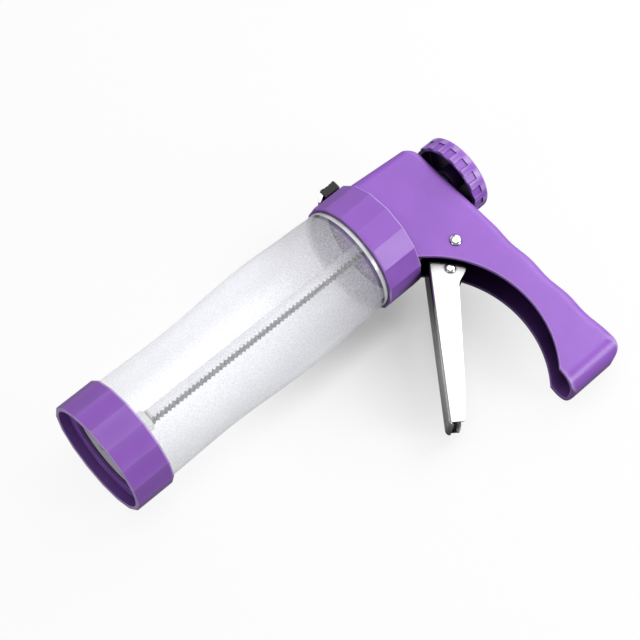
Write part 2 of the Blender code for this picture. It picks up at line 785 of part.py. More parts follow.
def housing():
    """One-piece moulding: hollow body and open handle, with bosses for the trigger's pin."""
    shell = rounded_block("housing", housing_side(), housing_half, housing_top, tip_drop, 0.0,
                          top_edge_radius, back_edge_radius, tip_edge_radius, press, purple_plastic)
    hollow = rounded_block("housing_hollow", inner_side(), inner_half, housing_top - housing_wall,
                           tip_drop - housing_wall, housing_wall + wave_depth,
                           top_edge_radius - housing_wall, back_edge_radius - housing_wall,
                           tip_edge_radius - housing_wall, cutters)
    combine(shell, hollow, "DIFFERENCE")
    boss_face = trigger_width / 2 + seat_gap
    for side in (-1, 1):
        start = boss_face if side > 0 else -inner_half - housing_wall / 2
        boss = rod_shape("pivot_boss_%s" % ("near" if side > 0 else "far"), boss_radius,
                         inner_half + housing_wall / 2 - boss_face, small_steps, cutters, press_frame,
                         shift(pivot_x, -pivot_drop, start))
        combine(shell, boss, "UNION")
    pin_hole = rod_shape("pin_hole", pin_radius + seat_gap, housing_width + 2 * cut_overrun, small_steps,
                         cutters, press_frame, shift(pivot_x, -pivot_drop, -housing_half - cut_overrun))
    rod_hole = turned("rod_hole", solid_profile(
        (rod_radius + seat_gap + bush_wall + seat_gap, housing_back_x + cut_overrun),
        (rod_radius + seat_gap + bush_wall + seat_gap, housing_back_x - housing_depth / 2),
        (rod_hole_radius, housing_back_x - housing_depth / 2),
        (rod_hole_radius, housing_front_x - cut_overrun)), False, small_steps, cutters, press_frame,
        along_x)
    combine(shell, pin_hole, "DIFFERENCE")
    return combine(shell, rod_hole, "DIFFERENCE")


def guide_bush():
    """Flanged bush that carries the rod in the back wall, its flange on the inside."""
    inner = rod_radius + seat_gap
    outer = inner + bush_wall
    wall_front = back_x(0.0, housing_wall + wave_depth)
    flange_back = wall_front - seat_gap
    end = back_x(0.0) - seat_gap
    return turned("guide_bush", [
        (outer, end), (outer, flange_back), (outer + bush_flange, flange_back),
        (outer + bush_flange, flange_back - bush_flange), (inner, flange_back - bush_flange),
        (inner, end)], True, small_steps, press, press_frame, along_x, white_plastic)


def domed_pin(name, radius, head_radius, head_height, half_length, steps, parent, matrix, finish):
    """A pin across the press with a domed head at each end, about local Z."""
    dome = [(head_radius * cos(turn), half_length + head_height * sin(turn)) for turn in dome_turns]
    upper = [(0.0, half_length + head_height)] + dome[::-1] + [(radius, half_length)]
    lower = [(r, -h) for r, h in upper[::-1]]
    return turned(name, upper + lower, False, steps, press, parent, matrix, finish)


def trigger_side():
    """Side outline of the trigger's flanges about its pivot, with the web in front."""
    web = -trigger_web_offset
    ear = ear_radius
    return rounded([
        (web, ear_top_reach, 0), (web, -trigger_reach, trigger_web_corner),
        (web + trigger_end_depth, -trigger_reach, trigger_end_corner),
        (web + trigger_low_depth, -trigger_low_reach, 0),
        (web + trigger_high_depth, -trigger_high_reach, 0),
        (web + trigger_high_depth + ear_step_depth, -trigger_high_reach + ear_step_length, 0),
        (ear, -ear_low_reach, ear_low_corner), (ear, ear, ear_back_corner),
        (-ear, ear, ear_front_corner)], full_corner_points)


def trigger():
    """Folded channel: flanges behind a web, cut from one sheet and open behind and below."""
    place_at = press_frame.matrix_world.inverted() @ trigger_axis.matrix_world
    half = trigger_width / 2
    inner = half - trigger_sheet
    web = -trigger_web_offset
    body = plate("trigger", [trigger_side()], half, press, trigger_axis, place_at, polished_steel)
    top = ear_radius + cut_overrun
    section = plate("trigger_section", [rounded([
        (web, -half, trigger_fold_radius), (past_ears, -half, 0), (past_ears, half, 0),
        (web, half, trigger_fold_radius)], fine_corner_points)],
        trigger_reach + ear_radius + cut_overrun, cutters, trigger_axis, place_at @ outline_xz)
    combine(body, section, "INTERSECT")
    fold = web + trigger_sheet
    inside = plate("trigger_inside", [[
        (fold, top), (fold, -trigger_reach - cut_overrun), (past_ears, -trigger_reach - cut_overrun),
        (past_ears, top)]], inner, cutters, trigger_axis, place_at)
    combine(body, inside, "DIFFERENCE")
    low = -trigger_reach - cut_overrun
    tip = plate("trigger_tip", [rounded([
        (low + cut_overrun, -half, trigger_end_round), (top, -half, 0), (top, half, 0),
        (low + cut_overrun, half, trigger_end_round)], full_corner_points)], past_ears, cutters,
        trigger_axis, place_at @ Matrix.Rotation(pi / 2, 4, "Z") @ outline_xz)
    combine(body, tip, "INTERSECT")
    for name, x, y, radius in (("trigger_pin_hole", 0.0, 0.0, pin_radius + seat_gap),
                               ("trigger_rivet_hole", -rivet_ahead, -rivet_reach,
                                rivet_radius + seat_gap)):
        hole = rod_shape(name, radius, trigger_width + 2 * cut_overrun, small_steps // 2, cutters,
                         trigger_axis, place_at @ shift(x, y, -half - cut_overrun))
        combine(body, hole, "DIFFERENCE")
    return body


def tangent_hull(circles, points):
    """Outline round two or more circles, given in turn round the shape."""
    spots = []
    for x, y, radius in circles:
        spots += circle(x, y, radius, points)
    spots = sorted(set(spots))
    hull = []
    for line in (spots, spots[::-1]):
        part = []
        for spot in line:
            while len(part) > 1 and ((part[-1][0] - part[-2][0]) * (spot[1] - part[-2][1])
                                     <= (part[-1][1] - part[-2][1]) * (spot[0] - part[-2][0])):
                part.pop()
            part.append(spot)
        hull += part[:-1]
    return hull


def pusher_arm():
    """Bell-crank arm between the flanges: its nose pushes the drive plate forward."""
    place_at = press_frame.matrix_world.inverted() @ trigger_axis.matrix_world
    upright = Matrix.Rotation(trigger_lean, 4, "Z")
    nose = upright @ Vector((arm_nose_back, arm_nose_rise, 0.0))
    elbow = upright @ Vector((arm_elbow_back, arm_elbow_rise, 0.0))
    low = tangent_hull([(0.0, 0.0, arm_hub_radius), (-rivet_ahead, -rivet_reach, arm_rivet_hub_radius)],
                       arm_steps)
    middle = tangent_hull([(0.0, 0.0, arm_hub_radius - face_ease), (elbow.x, elbow.y, arm_elbow_radius)],
                          arm_steps)
    high = tangent_hull([(elbow.x, elbow.y, arm_elbow_radius - face_ease),
                         (nose.x, nose.y, arm_nose_radius)],
                        arm_steps)
    arm = plate("pusher_arm", [low], arm_thickness / 2, press, trigger_axis, place_at, zinc_steel)
    for name, outline in (("pusher_arm_middle", middle), ("pusher_arm_high", high)):
        combine(arm, plate(name, [outline], arm_thickness / 2, cutters, trigger_axis, place_at), "UNION")
    for name, x, y, radius in (("arm_pin_hole", 0.0, 0.0, pin_radius + seat_gap),
                               ("arm_rivet_hole", -rivet_ahead, -rivet_reach, rivet_radius + seat_gap)):
        hole = rod_shape(name, radius, arm_thickness + 2 * cut_overrun, small_steps // 2, cutters,
                         trigger_axis, place_at @ shift(x, y, -arm_thickness / 2 - cut_overrun))
        combine(arm, hole, "DIFFERENCE")
    inner = arm_thickness / 2 + seat_gap
    outer = trigger_width / 2 - trigger_sheet - seat_gap
    hole_radius = pin_radius + seat_gap
    for name, start, end in (("near_spacer", inner, outer), ("far_spacer", -outer, -inner)):
        turned(name, [(spacer_radius, end), (spacer_radius, start), (hole_radius, start),
                      (hole_radius, end)], True, small_steps, press, trigger_axis, place_at, zinc_steel)
    return arm


def coil(name, start_x, end_x, mean_radius, wire, turns, parent):
    """A compression spring round the rod, one unbroken wire."""
    curve = bpy.data.curves.new(name, "CURVE")
    curve.dimensions = "3D"
    curve.bevel_depth = wire
    curve.bevel_resolution = 1
    curve.use_fill_caps = True
    count = turns * turn_points + 1
    spline = curve.splines.new("POLY")
    spline.points.add(count - 1)
    travel = end_x - start_x - 2 * wire
    spots = []
    for i, point in enumerate(spline.points):
        turn = 2 * pi * i / turn_points
        spots.append(Vector((start_x + wire + travel * i / (count - 1), mean_radius * cos(turn),
                             mean_radius * sin(turn))))
        point.co = (*spots[-1], 1.0)
    gap = least_gap(spots, wire, turn_points // 2)
    print("least gap in", name, "is", round(gap / mm, 2), "mm")
    return place(mesh_object(name, curve), press, parent, shift(), spring_wire)


def drive_parts():
    """Drive plate round the rod, which the arm pushes, and the spring that brings it back."""
    drive = plate("drive_plate", [
        rounded([(drive_plate_top, -drive_plate_width / 2, plate_corner),
                 (drive_plate_top, drive_plate_width / 2, plate_corner),
                 (-drive_plate_bottom, drive_plate_width / 2, plate_corner),
                 (-drive_plate_bottom, -drive_plate_width / 2, plate_corner)]),
        circle(0.0, 0.0, rod_hole_radius, small_steps)], drive_plate_thickness / 2, press, drive_axis,
        shift(x=drive_plate_front_x + drive_plate_thickness / 2) @ outline_yz, zinc_steel)
    spring = coil("drive_spring", housing_front_x + front_wall + seat_gap, drive_plate_front_x - seat_gap,
                  rod_radius + spring_ease + drive_wire_radius, drive_wire_radius, drive_turns, press_frame)
    return drive, spring


def brake_path():
    """Middle line of the brake plate: up from its lower edge, then forward under the cap."""
    under_cap = cap_top_y - cap_skin - brake_sheet / 2
    return [(brake_x, -brake_pivot_drop - brake_sheet / 2), (brake_x, under_cap),
            (cap_front_x - 2 * seat_gap, under_cap)]


def brake_parts():
    """Brake plate round the rod with its bent end, the black release cap and the small spring."""
    body = plate("brake_plate", [strip(brake_path(), brake_sheet / 2)], brake_plate_width / 2, press,
                 brake_axis, shift(), polished_steel)
    half = brake_plate_width / 2
    tongue = brake_tongue_width / 2
    low = -brake_pivot_drop - brake_sheet
    front = plate("brake_plate_front", [
        rounded([(low, -half, plate_corner), (low, half, plate_corner),
                 (brake_shoulder, half, plate_corner), (brake_shoulder + plate_corner, tongue, 0),
                 (cap_top_y, tongue, 0), (cap_top_y, -tongue, 0),
                 (brake_shoulder + plate_corner, -tongue, 0),
                 (brake_shoulder, -half, plate_corner)], fine_corner_points),
        circle(0.0, 0.0, rod_hole_radius + brake_sheet * sin(brake_swing), small_steps)],
        collar_length, cutters, brake_axis, shift(x=collar_back_x) @ outline_yz)
    combine(body, front, "INTERSECT")
    ramp_top = cap_top_y - cap_skin
    ramp_back = cap_front_x - seat_gap
    ramp = plate("brake_plate_ramp", [[
        (ramp_back, ramp_top), (ramp_back - seat_gap, ramp_top), (ramp_front_x, cap_base_y + ramp_foot),
        (ramp_front_x, cap_base_y), (ramp_front_x + ramp_foot, cap_base_y),
        (ramp_back, ramp_top - brake_sheet - ramp_foot)]], cap_width / 2 - cap_edge, cutters,
        brake_axis, shift())
    combine(body, ramp, "UNION")
    cap = plate("release_cap", [[
        (cap_front_x, cap_base_y), (cap_front_x, cap_top_y), (cap_back_x, cap_top_y),
        (cap_back_x, cap_base_y)]], cap_width / 2, press, brake_axis, shift(), black_plastic)
    bevel(cap, cap_edge)
    path = brake_path()
    path[-1] = (cap_front_x - cut_overrun, path[-1][1])
    room = plate("release_cap_room", [strip(path, brake_sheet / 2 + seat_gap)], tongue + seat_gap,
                 cutters, brake_axis, shift())
    combine(cap, room, "DIFFERENCE")
    spring = coil("brake_spring", bay_x + seat_gap, brake_front_x - seat_gap,
                  rod_radius + spring_ease + brake_wire_radius, brake_wire_radius, brake_turns, press_frame)
    return body, cap, spring


def knob():
    """Cup-shaped knob, open towards the housing, with notches round its rim for the fingers."""
    inner = knob_radius - knob_notch_depth - knob_wall
    floor = knob_back_x - knob_back_wall
    socket = rod_radius + seat_gap
    crown = knob_back_x + knob_crown
    sink = screw_head_radius + seat_gap
    sink_floor = crown - knob_screw_sink - screw_head_height - seat_gap
    shank = screw_shank_radius + seat_gap
    body = turned("knob", [
        (sink, crown), (knob_radius / 2, crown - knob_crown / 4), (knob_radius - knob_edge, knob_back_x),
        (knob_radius, knob_back_x - knob_edge), (knob_radius, knob_front_x + knob_edge / 2),
        (knob_radius - knob_edge / 2, knob_front_x), (inner, knob_front_x), (inner, floor),
        (knob_hub_radius, floor), (knob_hub_radius, knob_front_x), (socket, knob_front_x), (socket, floor),
        (shank, floor), (shank, sink_floor), (sink, sink_floor)], True, medium_steps, press, rod_axis,
        along_x, purple_plastic)
    spread = 2 * pi / knob_notches
    width = knob_radius * spread * knob_notch_share
    for i in range(knob_notches):
        outline = [(knob_front_x - cut_overrun, knob_radius - knob_notch_depth),
                   (knob_front_x + knob_notch_length, knob_radius - knob_notch_depth),
                   (knob_front_x + knob_notch_length, knob_radius + cut_overrun),
                   (knob_front_x - cut_overrun, knob_radius + cut_overrun)]
        notch = plate("knob_notch_%02d" % i, [outline], width / 2, cutters, rod_axis,
                      Matrix.Rotation(spread * (i + 1 / 2), 4, "X"))
        combine(body, notch, "DIFFERENCE")
    return body


def knob_screw():
    """Slotted screw through the back of the knob into the end of the rod."""
    top = knob_back_x + knob_crown - knob_screw_sink
    seat = top - screw_head_height
    tip = seat - knob_screw_length
    screw = turned("knob_screw", solid_profile(
        (screw_head_radius - seat_gap, top), (screw_head_radius, top - seat_gap), (screw_head_radius, seat),
        (screw_shank_radius, seat), (screw_shank_radius, tip + seat_gap),
        (screw_shank_radius - seat_gap, tip)), False, small_steps, press, rod_axis, along_x, zinc_steel)
    half = drive_slot_width / 2
    reach = screw_head_radius + cut_overrun
    slot = block("knob_screw_slot", (top - drive_slot_depth, -half, -reach),
                 (top + cut_overrun, half, reach), cutters, rod_axis)
    return combine(screw, slot, "DIFFERENCE")


def set_on_floor():
    """Move the whole press so that its box stands centred on the origin, on the floor."""
    bpy.context.view_layer.update()
    view = bpy.context.evaluated_depsgraph_get()
    spots = []
    for obj in press.objects:
        if obj.type == "MESH":
            solid = obj.evaluated_get(view)
            spots += [obj.matrix_world @ vert.co for vert in solid.data.vertices]
    low = [min(spot[axis] for spot in spots) for axis in range(3)]
    high = [max(spot[axis] for spot in spots) for axis in range(3)]
    press_frame.location = (-(low[0] + high[0]) / 2, -(low[1] + high[1]) / 2, -low[2])
    bpy.context.view_layer.update()


front_ring()
cookie_disc()
barrel()
rear_ring()
toothed_rod()
piston()
piston_screw()
housing()
guide_bush()
domed_pin("pivot_pin", pin_radius, pin_head_radius, pin_head_height, housing_half + seat_gap, small_steps,
          press_frame, shift(pivot_x, -pivot_drop), polished_steel)
trigger()
pusher_arm()
domed_pin("trigger_rivet", rivet_radius, rivet_head_radius, rivet_head_height,
          trigger_width / 2 + seat_gap, small_steps, trigger_axis,
          press_frame.matrix_world.inverted() @ trigger_axis.matrix_world
          @ shift(-rivet_ahead, -rivet_reach), polished_steel)
drive_parts()
brake_parts()
knob()
knob_screw()
set_on_floor()
for made in press.objects:
    if made.type == "MESH" and not made.modifiers:
        shade(made)
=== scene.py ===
import bmesh
import bpy
import numpy as np
from mathutils import Matrix


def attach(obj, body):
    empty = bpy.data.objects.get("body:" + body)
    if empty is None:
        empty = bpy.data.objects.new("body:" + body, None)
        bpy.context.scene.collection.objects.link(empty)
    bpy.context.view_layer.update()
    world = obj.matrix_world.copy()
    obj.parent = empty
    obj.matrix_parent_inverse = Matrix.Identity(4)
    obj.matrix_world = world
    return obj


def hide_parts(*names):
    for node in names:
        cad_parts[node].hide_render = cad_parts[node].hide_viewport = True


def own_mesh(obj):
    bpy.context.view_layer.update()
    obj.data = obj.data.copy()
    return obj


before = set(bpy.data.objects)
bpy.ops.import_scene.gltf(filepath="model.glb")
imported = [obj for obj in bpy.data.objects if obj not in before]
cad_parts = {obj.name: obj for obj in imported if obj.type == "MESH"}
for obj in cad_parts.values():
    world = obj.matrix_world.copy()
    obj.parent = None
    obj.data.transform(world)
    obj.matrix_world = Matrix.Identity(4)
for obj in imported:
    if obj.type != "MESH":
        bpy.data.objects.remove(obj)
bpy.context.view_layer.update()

# Camera
# The photograph looks down on the press, which lies on its side, from beyond its nozzle end.
# Its place and lens come from a pinhole camera fitted to the outline in the photograph.
scene = bpy.context.scene


def placed(name, data):
    """A new object in the scene."""
    made = bpy.data.objects.new(name, data)
    scene.collection.objects.link(made)
    return made


eye = bpy.data.cameras.new("photo_camera")
eye.lens, eye.sensor_width, eye.clip_end = 101.25, 36.0, 20.0
camera = placed("photo_camera", eye)
camera.location = (-0.28086157, -0.32420299, 0.79120207)
camera.rotation_euler = (0.53871173, 0.03319404, -0.74172055)
scene.camera = camera


# Floor
# A seamless sheet of white paper under the press, matt, with the soft shadow that the press throws,
# deepened by painted shadow round the press and painted contact shade where it nearly touches.
# It is lit up to white for the camera only, so the press keeps its own light.
def linear(colour):
    """An sRGB hex colour as the linear red, green and blue that a shader takes."""
    part = np.array([int(colour[i:i + 2], 16) for i in (1, 3, 5)]) / 255.0
    return (*np.where(part <= 0.04045, part / 12.92, ((part + 0.055) / 1.055) ** 2.4), 1.0)


def add(tree, kind, inputs=None, out=0, **settings):
    """Adds a shader node, sets its settings, and fills each input with a value or a link.

    It returns one of the node's outputs, or the node itself where out is None.
    """
    made = tree.nodes.new("ShaderNode" + kind)
    for name, value in settings.items():
        setattr(made, name, value)
    for name, value in (inputs or {}).items():
        if isinstance(value, bpy.types.NodeSocket):
            tree.links.new(value, made.inputs[name])
        else:
            made.inputs[name].default_value = value
    return made if out is None else made.outputs[out]


def blank(name):
    """A new material, its node tree and its Principled shader."""
    made = bpy.data.materials.new(name)
    made.use_nodes = True
    return made, made.node_tree, made.node_tree.nodes["Principled BSDF"]


def plug(tree, shader, links):
    """Links each output to the shader's input of that name."""
    for name, link in links.items():
        tree.links.new(link, shader.inputs[name])


def for_camera(tree, in_mirrors):
    """One for camera rays, in_mirrors for mirror rays, nothing for the light on the press."""
    ray = add(tree, "LightPath", out=None)
    return add(tree, "Math", {0: ray.outputs["Is Glossy Ray"], 1: in_mirrors,
                              2: ray.outputs["Is Camera Ray"]}, operation="MULTIPLY_ADD")


def openness(tree, reach, samples, share, shade):
    """Shade from its first value to its last, as the share of free sight within reach grows."""
    sight = add(tree, "AmbientOcclusion", {"Distance": reach}, samples=samples, out="AO")
    return add(tree, "MapRange", {"Value": sight, "From Min": share[0], "From Max": share[1],
                                  "To Min": shade[0], "To Max": shade[1]})


def paper():
    """Matt white paper: plain diffuse, with a lift that only camera and mirror rays see.

    The lift is full away from the press and less round it, a painted shadow on top of the real one
    that the paper keeps there, and painted contact shade darkens the paper where the press nearly
    touches it.
    """
    made, tree, _ = blank("matt_white_paper")
    tree.nodes.clear()
    # Painted contact shade: the paper's colour darkens where the press nearly touches it.
    matt = add(tree, "BsdfDiffuse", {"Color": openness(tree, 0.02, 8, (0.35, 0.85), (0.4, 0.92))})
    painted_glow = add(tree, "Emission", {"Color": linear("#ffffff"), "Strength": for_camera(tree, 0.2)})
    where = add(tree, "TexCoord", out="Object")
    # Painted shadow: the camera's lift is lowered round this spot by the collar.
    painted_shadow_centre, painted_shadow_reach = (0.034, 0.018, 0.0), 0.1
    apart = add(tree, "VectorMath", {0: where, 1: painted_shadow_centre}, operation="DISTANCE", out="Value")
    lift = add(tree, "MapRange", {"Value": apart, "From Max": painted_shadow_reach, "To Min": 0.3,
                                  "To Max": 0.9}, interpolation_type="SMOOTHSTEP")
    dim = add(tree, "MixShader", {0: lift, 1: matt, 2: painted_glow})
    add(tree, "OutputMaterial", {"Surface": dim}, out=None)
    return made


paper_half = 2
floor_mesh = bpy.data.meshes.new("paper_floor")
floor_mesh.from_pydata([(paper_half * x, paper_half * y, 0) for x, y in (
    (-1, -1), (1, -1), (1, 1), (-1, 1))], [], [(0, 1, 2, 3)])
floor_mesh.materials.append(paper())
floor = placed("paper_floor", floor_mesh)


# Lights
# A large softbox overhead, smaller ones round the handle end and before the mouth, and a low one at
# the right of the camera, for one flat of the collar. A dim white room fills the shadows; mirrors
# see it brighter, and the camera sees it white.
def softbox(name, at, size, power):
    """A square softbox that faces the middle of the press."""
    lamp = bpy.data.lights.new(name, "AREA")
    lamp.size, lamp.energy = size, power
    place = np.array(at)
    away = place / np.linalg.norm(place)
    side = np.cross((0.0, 0.0, 1.0), away)
    side = side / np.linalg.norm(side)
    turn = np.eye(4)
    turn[:3] = np.stack([side, np.cross(away, side), away, place], -1)
    placed(name, lamp).matrix_world = Matrix(turn.tolist())


softbox("top_softbox", (0.35, 0.1, 1.2), 0.9, 4.4)
softbox("back_softbox", (0.2, 1.0, 0.5), 0.6, 1.0)
softbox("right_softbox", (0.9, 0.3, 0.6), 0.6, 2.6)
softbox("low_softbox", (0.5, -0.85, 0.42), 0.4, 4.8)
softbox("handle_softbox", (0.5, -0.1, 0.5), 0.3, 1.4)
softbox("mouth_softbox", (-0.8, 0.0, 0.3), 0.4, 1.8)
room = bpy.data.worlds.new("white_room")
room.use_nodes = True
sky = room.node_tree.nodes["Background"]
sky.inputs["Color"].default_value = linear("#ffffff")
fill = 0.15
strength = add(room.node_tree, "MapRange", {"Value": for_camera(room.node_tree, 0.25), "To Min": fill})
plug(room.node_tree, sky, {"Strength": strength})
scene.world = room
scene.view_settings.view_transform = "Standard"

# Front ring
# The screwed ring that holds a disc against the end of the barrel: moulded ABS with sixteen flats
# for grip, a deep mouth, a narrow lip for the disc to rest behind, and a bore for the barrel's neck.
roll = 0.15455573707
rest = (-120.9, 44.351, 30.84)
flats, corner_radius, corner_ease = 16, 31.0, 1.0
front_length, front_turn = 22.4, np.radians(17.5)
lip_front, lip_back, lip_inside = 5.8, 7.8, 24.0
mouth_radius, neck_room, rim_round = 28.4, 28.5, 0.8
purple, satin = "#9a63cb", 0.3


def at_rest(points):
    """Press millimetres to the frame's metres: a roll about the rod, then a shift to where it lies.

    x runs along the rod to the knob, y up from it away from the handle, z to the side.
    """
    x, y, z = np.moveaxis(np.asarray(points, float), -1, 0)
    turned = (x, y * np.cos(roll) - z * np.sin(roll), y * np.sin(roll) + z * np.cos(roll))
    return (np.stack(turned, -1) + rest) / 1000


def edged(made, width, angle):
    """Breaks edges sharper than angle degrees by width millimetres, and shades flat faces flat."""
    if width:
        broken = made.modifiers.new("broken edges", "BEVEL")
        broken.width, broken.segments = width / 1000, 2
        broken.limit_method, broken.angle_limit = "ANGLE", np.radians(angle)
    made.modifiers.new("flat faces shade flat", "WEIGHTED_NORMAL").keep_sharp = True


def skin(name, grids, finish, wraps=(False, True), gap=None, sheet=0.0):
    """A piece from grids of points: four neighbours make a face, and a wrapped way closes on itself.

    Points that meet are merged, so a row drawn to one spot becomes a pole. gap marks faces left out,
    and sheet is the thickness in millimetres that an open surface gets on its inner side.
    """
    spots, faces, start = [], [], 0
    for grid in grids:
        rows, columns = grid.shape[:2]
        down, across = wraps if grid is grids[0] else (False, True)
        i, j = np.meshgrid(np.arange(rows - (not down)), np.arange(columns - (not across)),
                           indexing="ij")
        below, beside = (i + 1) % rows, (j + 1) % columns
        four = np.stack([i * columns + j, i * columns + beside, below * columns + beside,
                         below * columns + j], -1)
        kept = four.reshape(-1, 4) if gap is None or grid is not grids[0] else four[~gap]
        spots.append(grid.reshape(-1, 3))
        faces.append(kept + start)
        start += rows * columns
    mesh = bpy.data.meshes.new(name)
    mesh.from_pydata(at_rest(np.concatenate(spots)).tolist(), [], np.concatenate(faces).tolist())
    work = bmesh.new()
    work.from_mesh(mesh)
    bmesh.ops.remove_doubles(work, verts=work.verts, dist=2e-6)
    if not sheet:
        bmesh.ops.recalc_face_normals(work, faces=work.faces)
    work.to_mesh(mesh)
    work.free()
    mesh.shade_smooth()
    mesh.set_sharp_from_angle(angle=np.radians(38))
    mesh.materials.append(finish)
    made = placed(name, mesh)
    if sheet:
        thick = made.modifiers.new("sheet", "SOLIDIFY")
        thick.thickness, thick.offset, thick.use_even_offset = sheet / 1000, -1.0, True
    edged(made, sheet / 6, 50)
    return made


def eased(corners, steps=5):
    """A closed outline whose corners (x, y, radius) become arcs, all worked out as whole arrays.

    Each arc's centre is on its corner's bisector, its radius over the sine of half the angle away.
    """
    here, radius = np.array(corners, float)[:, :2], np.array(corners, float)[:, 2]
    back, ahead = np.roll(here, 1, 0) - here, np.roll(here, -1, 0) - here
    back /= np.linalg.norm(back, axis=1)[:, None]
    ahead /= np.linalg.norm(ahead, axis=1)[:, None]
    half = np.arccos(np.clip((back * ahead).sum(1), -1, 1)) / 2
    middle = back + ahead
    middle /= np.linalg.norm(middle, axis=1)[:, None] + 1e-12
    centre = here + middle * (radius / np.sin(half))[:, None]
    first, last = [here + way * (radius / np.tan(half))[:, None] - centre for way in (back, ahead)]
    start = np.arctan2(first[:, 1], first[:, 0])
    sweep = (np.arctan2(last[:, 1], last[:, 0]) - start + np.pi) % (2 * np.pi) - np.pi
    turn = start[:, None] + sweep[:, None] * np.linspace(0, 1, steps + 1)
    arc = np.stack([np.cos(turn), np.sin(turn)], -1) * radius[:, None, None]
    return (centre[:, None] + arc).reshape(-1, 2)


def half_chord(radius, away):
    """Half of a circle's chord at a distance from its centre: sqrt(radius^2 - away^2)."""
    return np.sqrt(np.maximum(radius ** 2 - away ** 2, 0))


def flat_round(turn, first):
    """Radius of the faceted ring in a direction: straight flats with a small arc at each corner."""
    apart = np.pi / flats
    flat_radius = corner_radius * np.cos(apart)
    centre = (flat_radius - corner_ease) / np.cos(apart)
    spread = np.arctan2(corner_ease * np.sin(apart), centre + corner_ease * np.cos(apart))
    off = np.abs((turn - first + apart) % (2 * apart) - apart)
    arc = centre * np.cos(off) + half_chord(corner_ease, centre * np.sin(off))
    return np.where(off <= spread, arc, flat_radius / np.cos(apart - off)), spread


def ring_turns(first, extra=()):
    """Angles round a faceted ring: five across each corner's arc and three on each flat."""
    spread = flat_round(np.zeros(1), first)[1]
    apart = np.pi / flats
    near = np.concatenate([np.linspace(-spread, spread, 5),
                           np.linspace(spread, 2 * apart - spread, 5)[1:-1]])
    turns = (first + 2 * apart * np.arange(flats)[:, None] + near).reshape(-1)
    return np.sort(np.concatenate([turns, np.array(extra, float)]) % (2 * np.pi))


def spun(x, radius, turn):
    """Points at places along the rod, distances from it and angles round it."""
    return np.stack([x + 0 * turn, radius * np.cos(turn), radius * np.sin(turn)], -1)


def faceted(profile, turns, first):
    """A ring: profile (x, radius) turned about the rod, its outer part drawn in to the flats.

    The outer radius at each angle is the profile's less the gap between the corner circle and the flat.
    """
    x, radius = profile[:, :1], profile[:, 1:]
    drawn_from, drawn_over = 29.0, 1.2
    outside = np.clip((radius - drawn_from) / drawn_over, 0, 1)
    return spun(x, radius - outside * (corner_radius - flat_round(turns, first)[0]), turns)


def moulded(name, colour, rough, hollow=0.18, highlight_rims=()):
    """Injection-moulded ABS with a satin spark-eroded face.

    To the eye: a soft broad sheen, faint clouds where the melt flowed, a fine even grain that
    breaks the highlight, patches smoother from handling, corners painted paler as an edge highlight
    that also stands for wear, and painted shade that darkens hollows down to a share hollow of the
    colour. The rims are places along the rod, each with the width in millimetres of a painted
    highlight line there.
    The grain is drawn at 0.4 mm, coarser than the real one, so that it shows.
    """
    made, tree, shader = blank(name)
    shader.inputs["Specular IOR Level"].default_value = 0.32
    where = add(tree, "TexCoord", out="Object")
    cloud, grain, handled = [add(tree, "TexNoise", {"Vector": where, "Scale": scale, "Detail": detail})
                             for scale, detail in ((45.0, 3.0), (2600.0, 2.0), (160.0, 6.0))]
    edge = add(tree, "NewGeometry", out="Pointiness")
    # Painted edge highlight on sharp corners, which also stands for wear.
    wear_and_edge_highlight = add(tree, "MapRange", {"Value": edge, "From Min": 0.515, "From Max": 0.56})
    along = add(tree, "SeparateXYZ", {"Vector": where})
    # Painted highlight lines round the given rims.
    for rim, width in highlight_rims:
        painted_rim_highlight = add(tree, "Math", {0: along, 1: (rim + rest[0]) / 1000, 2: width / 1000},
                     operation="COMPARE")
        wear_and_edge_highlight = add(tree, "Math", {0: wear_and_edge_highlight, 1: painted_rim_highlight}, operation="MAXIMUM")
    tint = np.array(linear(colour)[:3])
    mixed = add(tree, "ValToRGB", {"Fac": cloud}, out=None)
    for end, place, share in zip(mixed.color_ramp.elements, (0.3, 0.7), (0.94, 1.06)):
        end.position, end.color = place, (*np.minimum(tint * share, 1), 1.0)
    pale = add(tree, "Mix", {0: wear_and_edge_highlight, 6: mixed.outputs[0], 7: (*(tint * 0.75 + 0.32), 1.0)},
               data_type="RGBA", out=2)
    # Painted shade in the piece's own hollows.
    painted_shade = openness(tree, 0.035, 6, (0.35, 0.75), (hollow, 1.0))
    shaded = add(tree, "VectorMath", {0: pale, "Scale": painted_shade}, operation="SCALE")
    sheen = add(tree, "MapRange", {"Value": handled, "From Min": 0.35, "From Max": 0.65,
                                   "To Min": rough - 0.02, "To Max": rough + 0.02})
    fine = add(tree, "Bump", {"Height": grain, "Strength": 0.25, "Distance": 0.00006})
    plug(tree, shader, {"Base Color": shaded, "Roughness": sheen, "Normal": fine})
    return made


front_profile = eased([
    (0.0, corner_radius, rim_round), (front_length, corner_radius, rim_round),
    (front_length, neck_room, 0.3), (lip_back, neck_room, 0.0), (lip_back, lip_inside, 0.3),
    (lip_front, lip_inside, 0.4), (lip_front, mouth_radius, 0.5), (0.0, mouth_radius, 0.6)])
# Painted highlight lines run round the ring's front face and back edge.
front_ring = skin("front_ring_skin", [faceted(front_profile, ring_turns(front_turn), front_turn)],
                  moulded("satin_purple_abs_front_ring", purple, satin, highlight_rims=(
                      (0.0, 0.5), (front_length, 1.1))), (True, True))
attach(front_ring, "nozzle_ring")
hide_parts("front_ring")

# Cookie disc
# A disc stamped from aluminium sheet with a flower of six petals round an eye, held behind the lip.
# Its sheet has the fine straight lines of rolling and the bright turned-over edge of each cut.
def dressed(node, finish, edge):
    """Gives a CAD piece its finish and breaks its edges by a real amount, in millimetres."""
    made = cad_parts[node]
    made.data.materials.clear()
    made.data.materials.append(finish)
    made.modifiers.new("one skin", "WELD").merge_threshold = 2e-6
    edged(made, edge, 35)


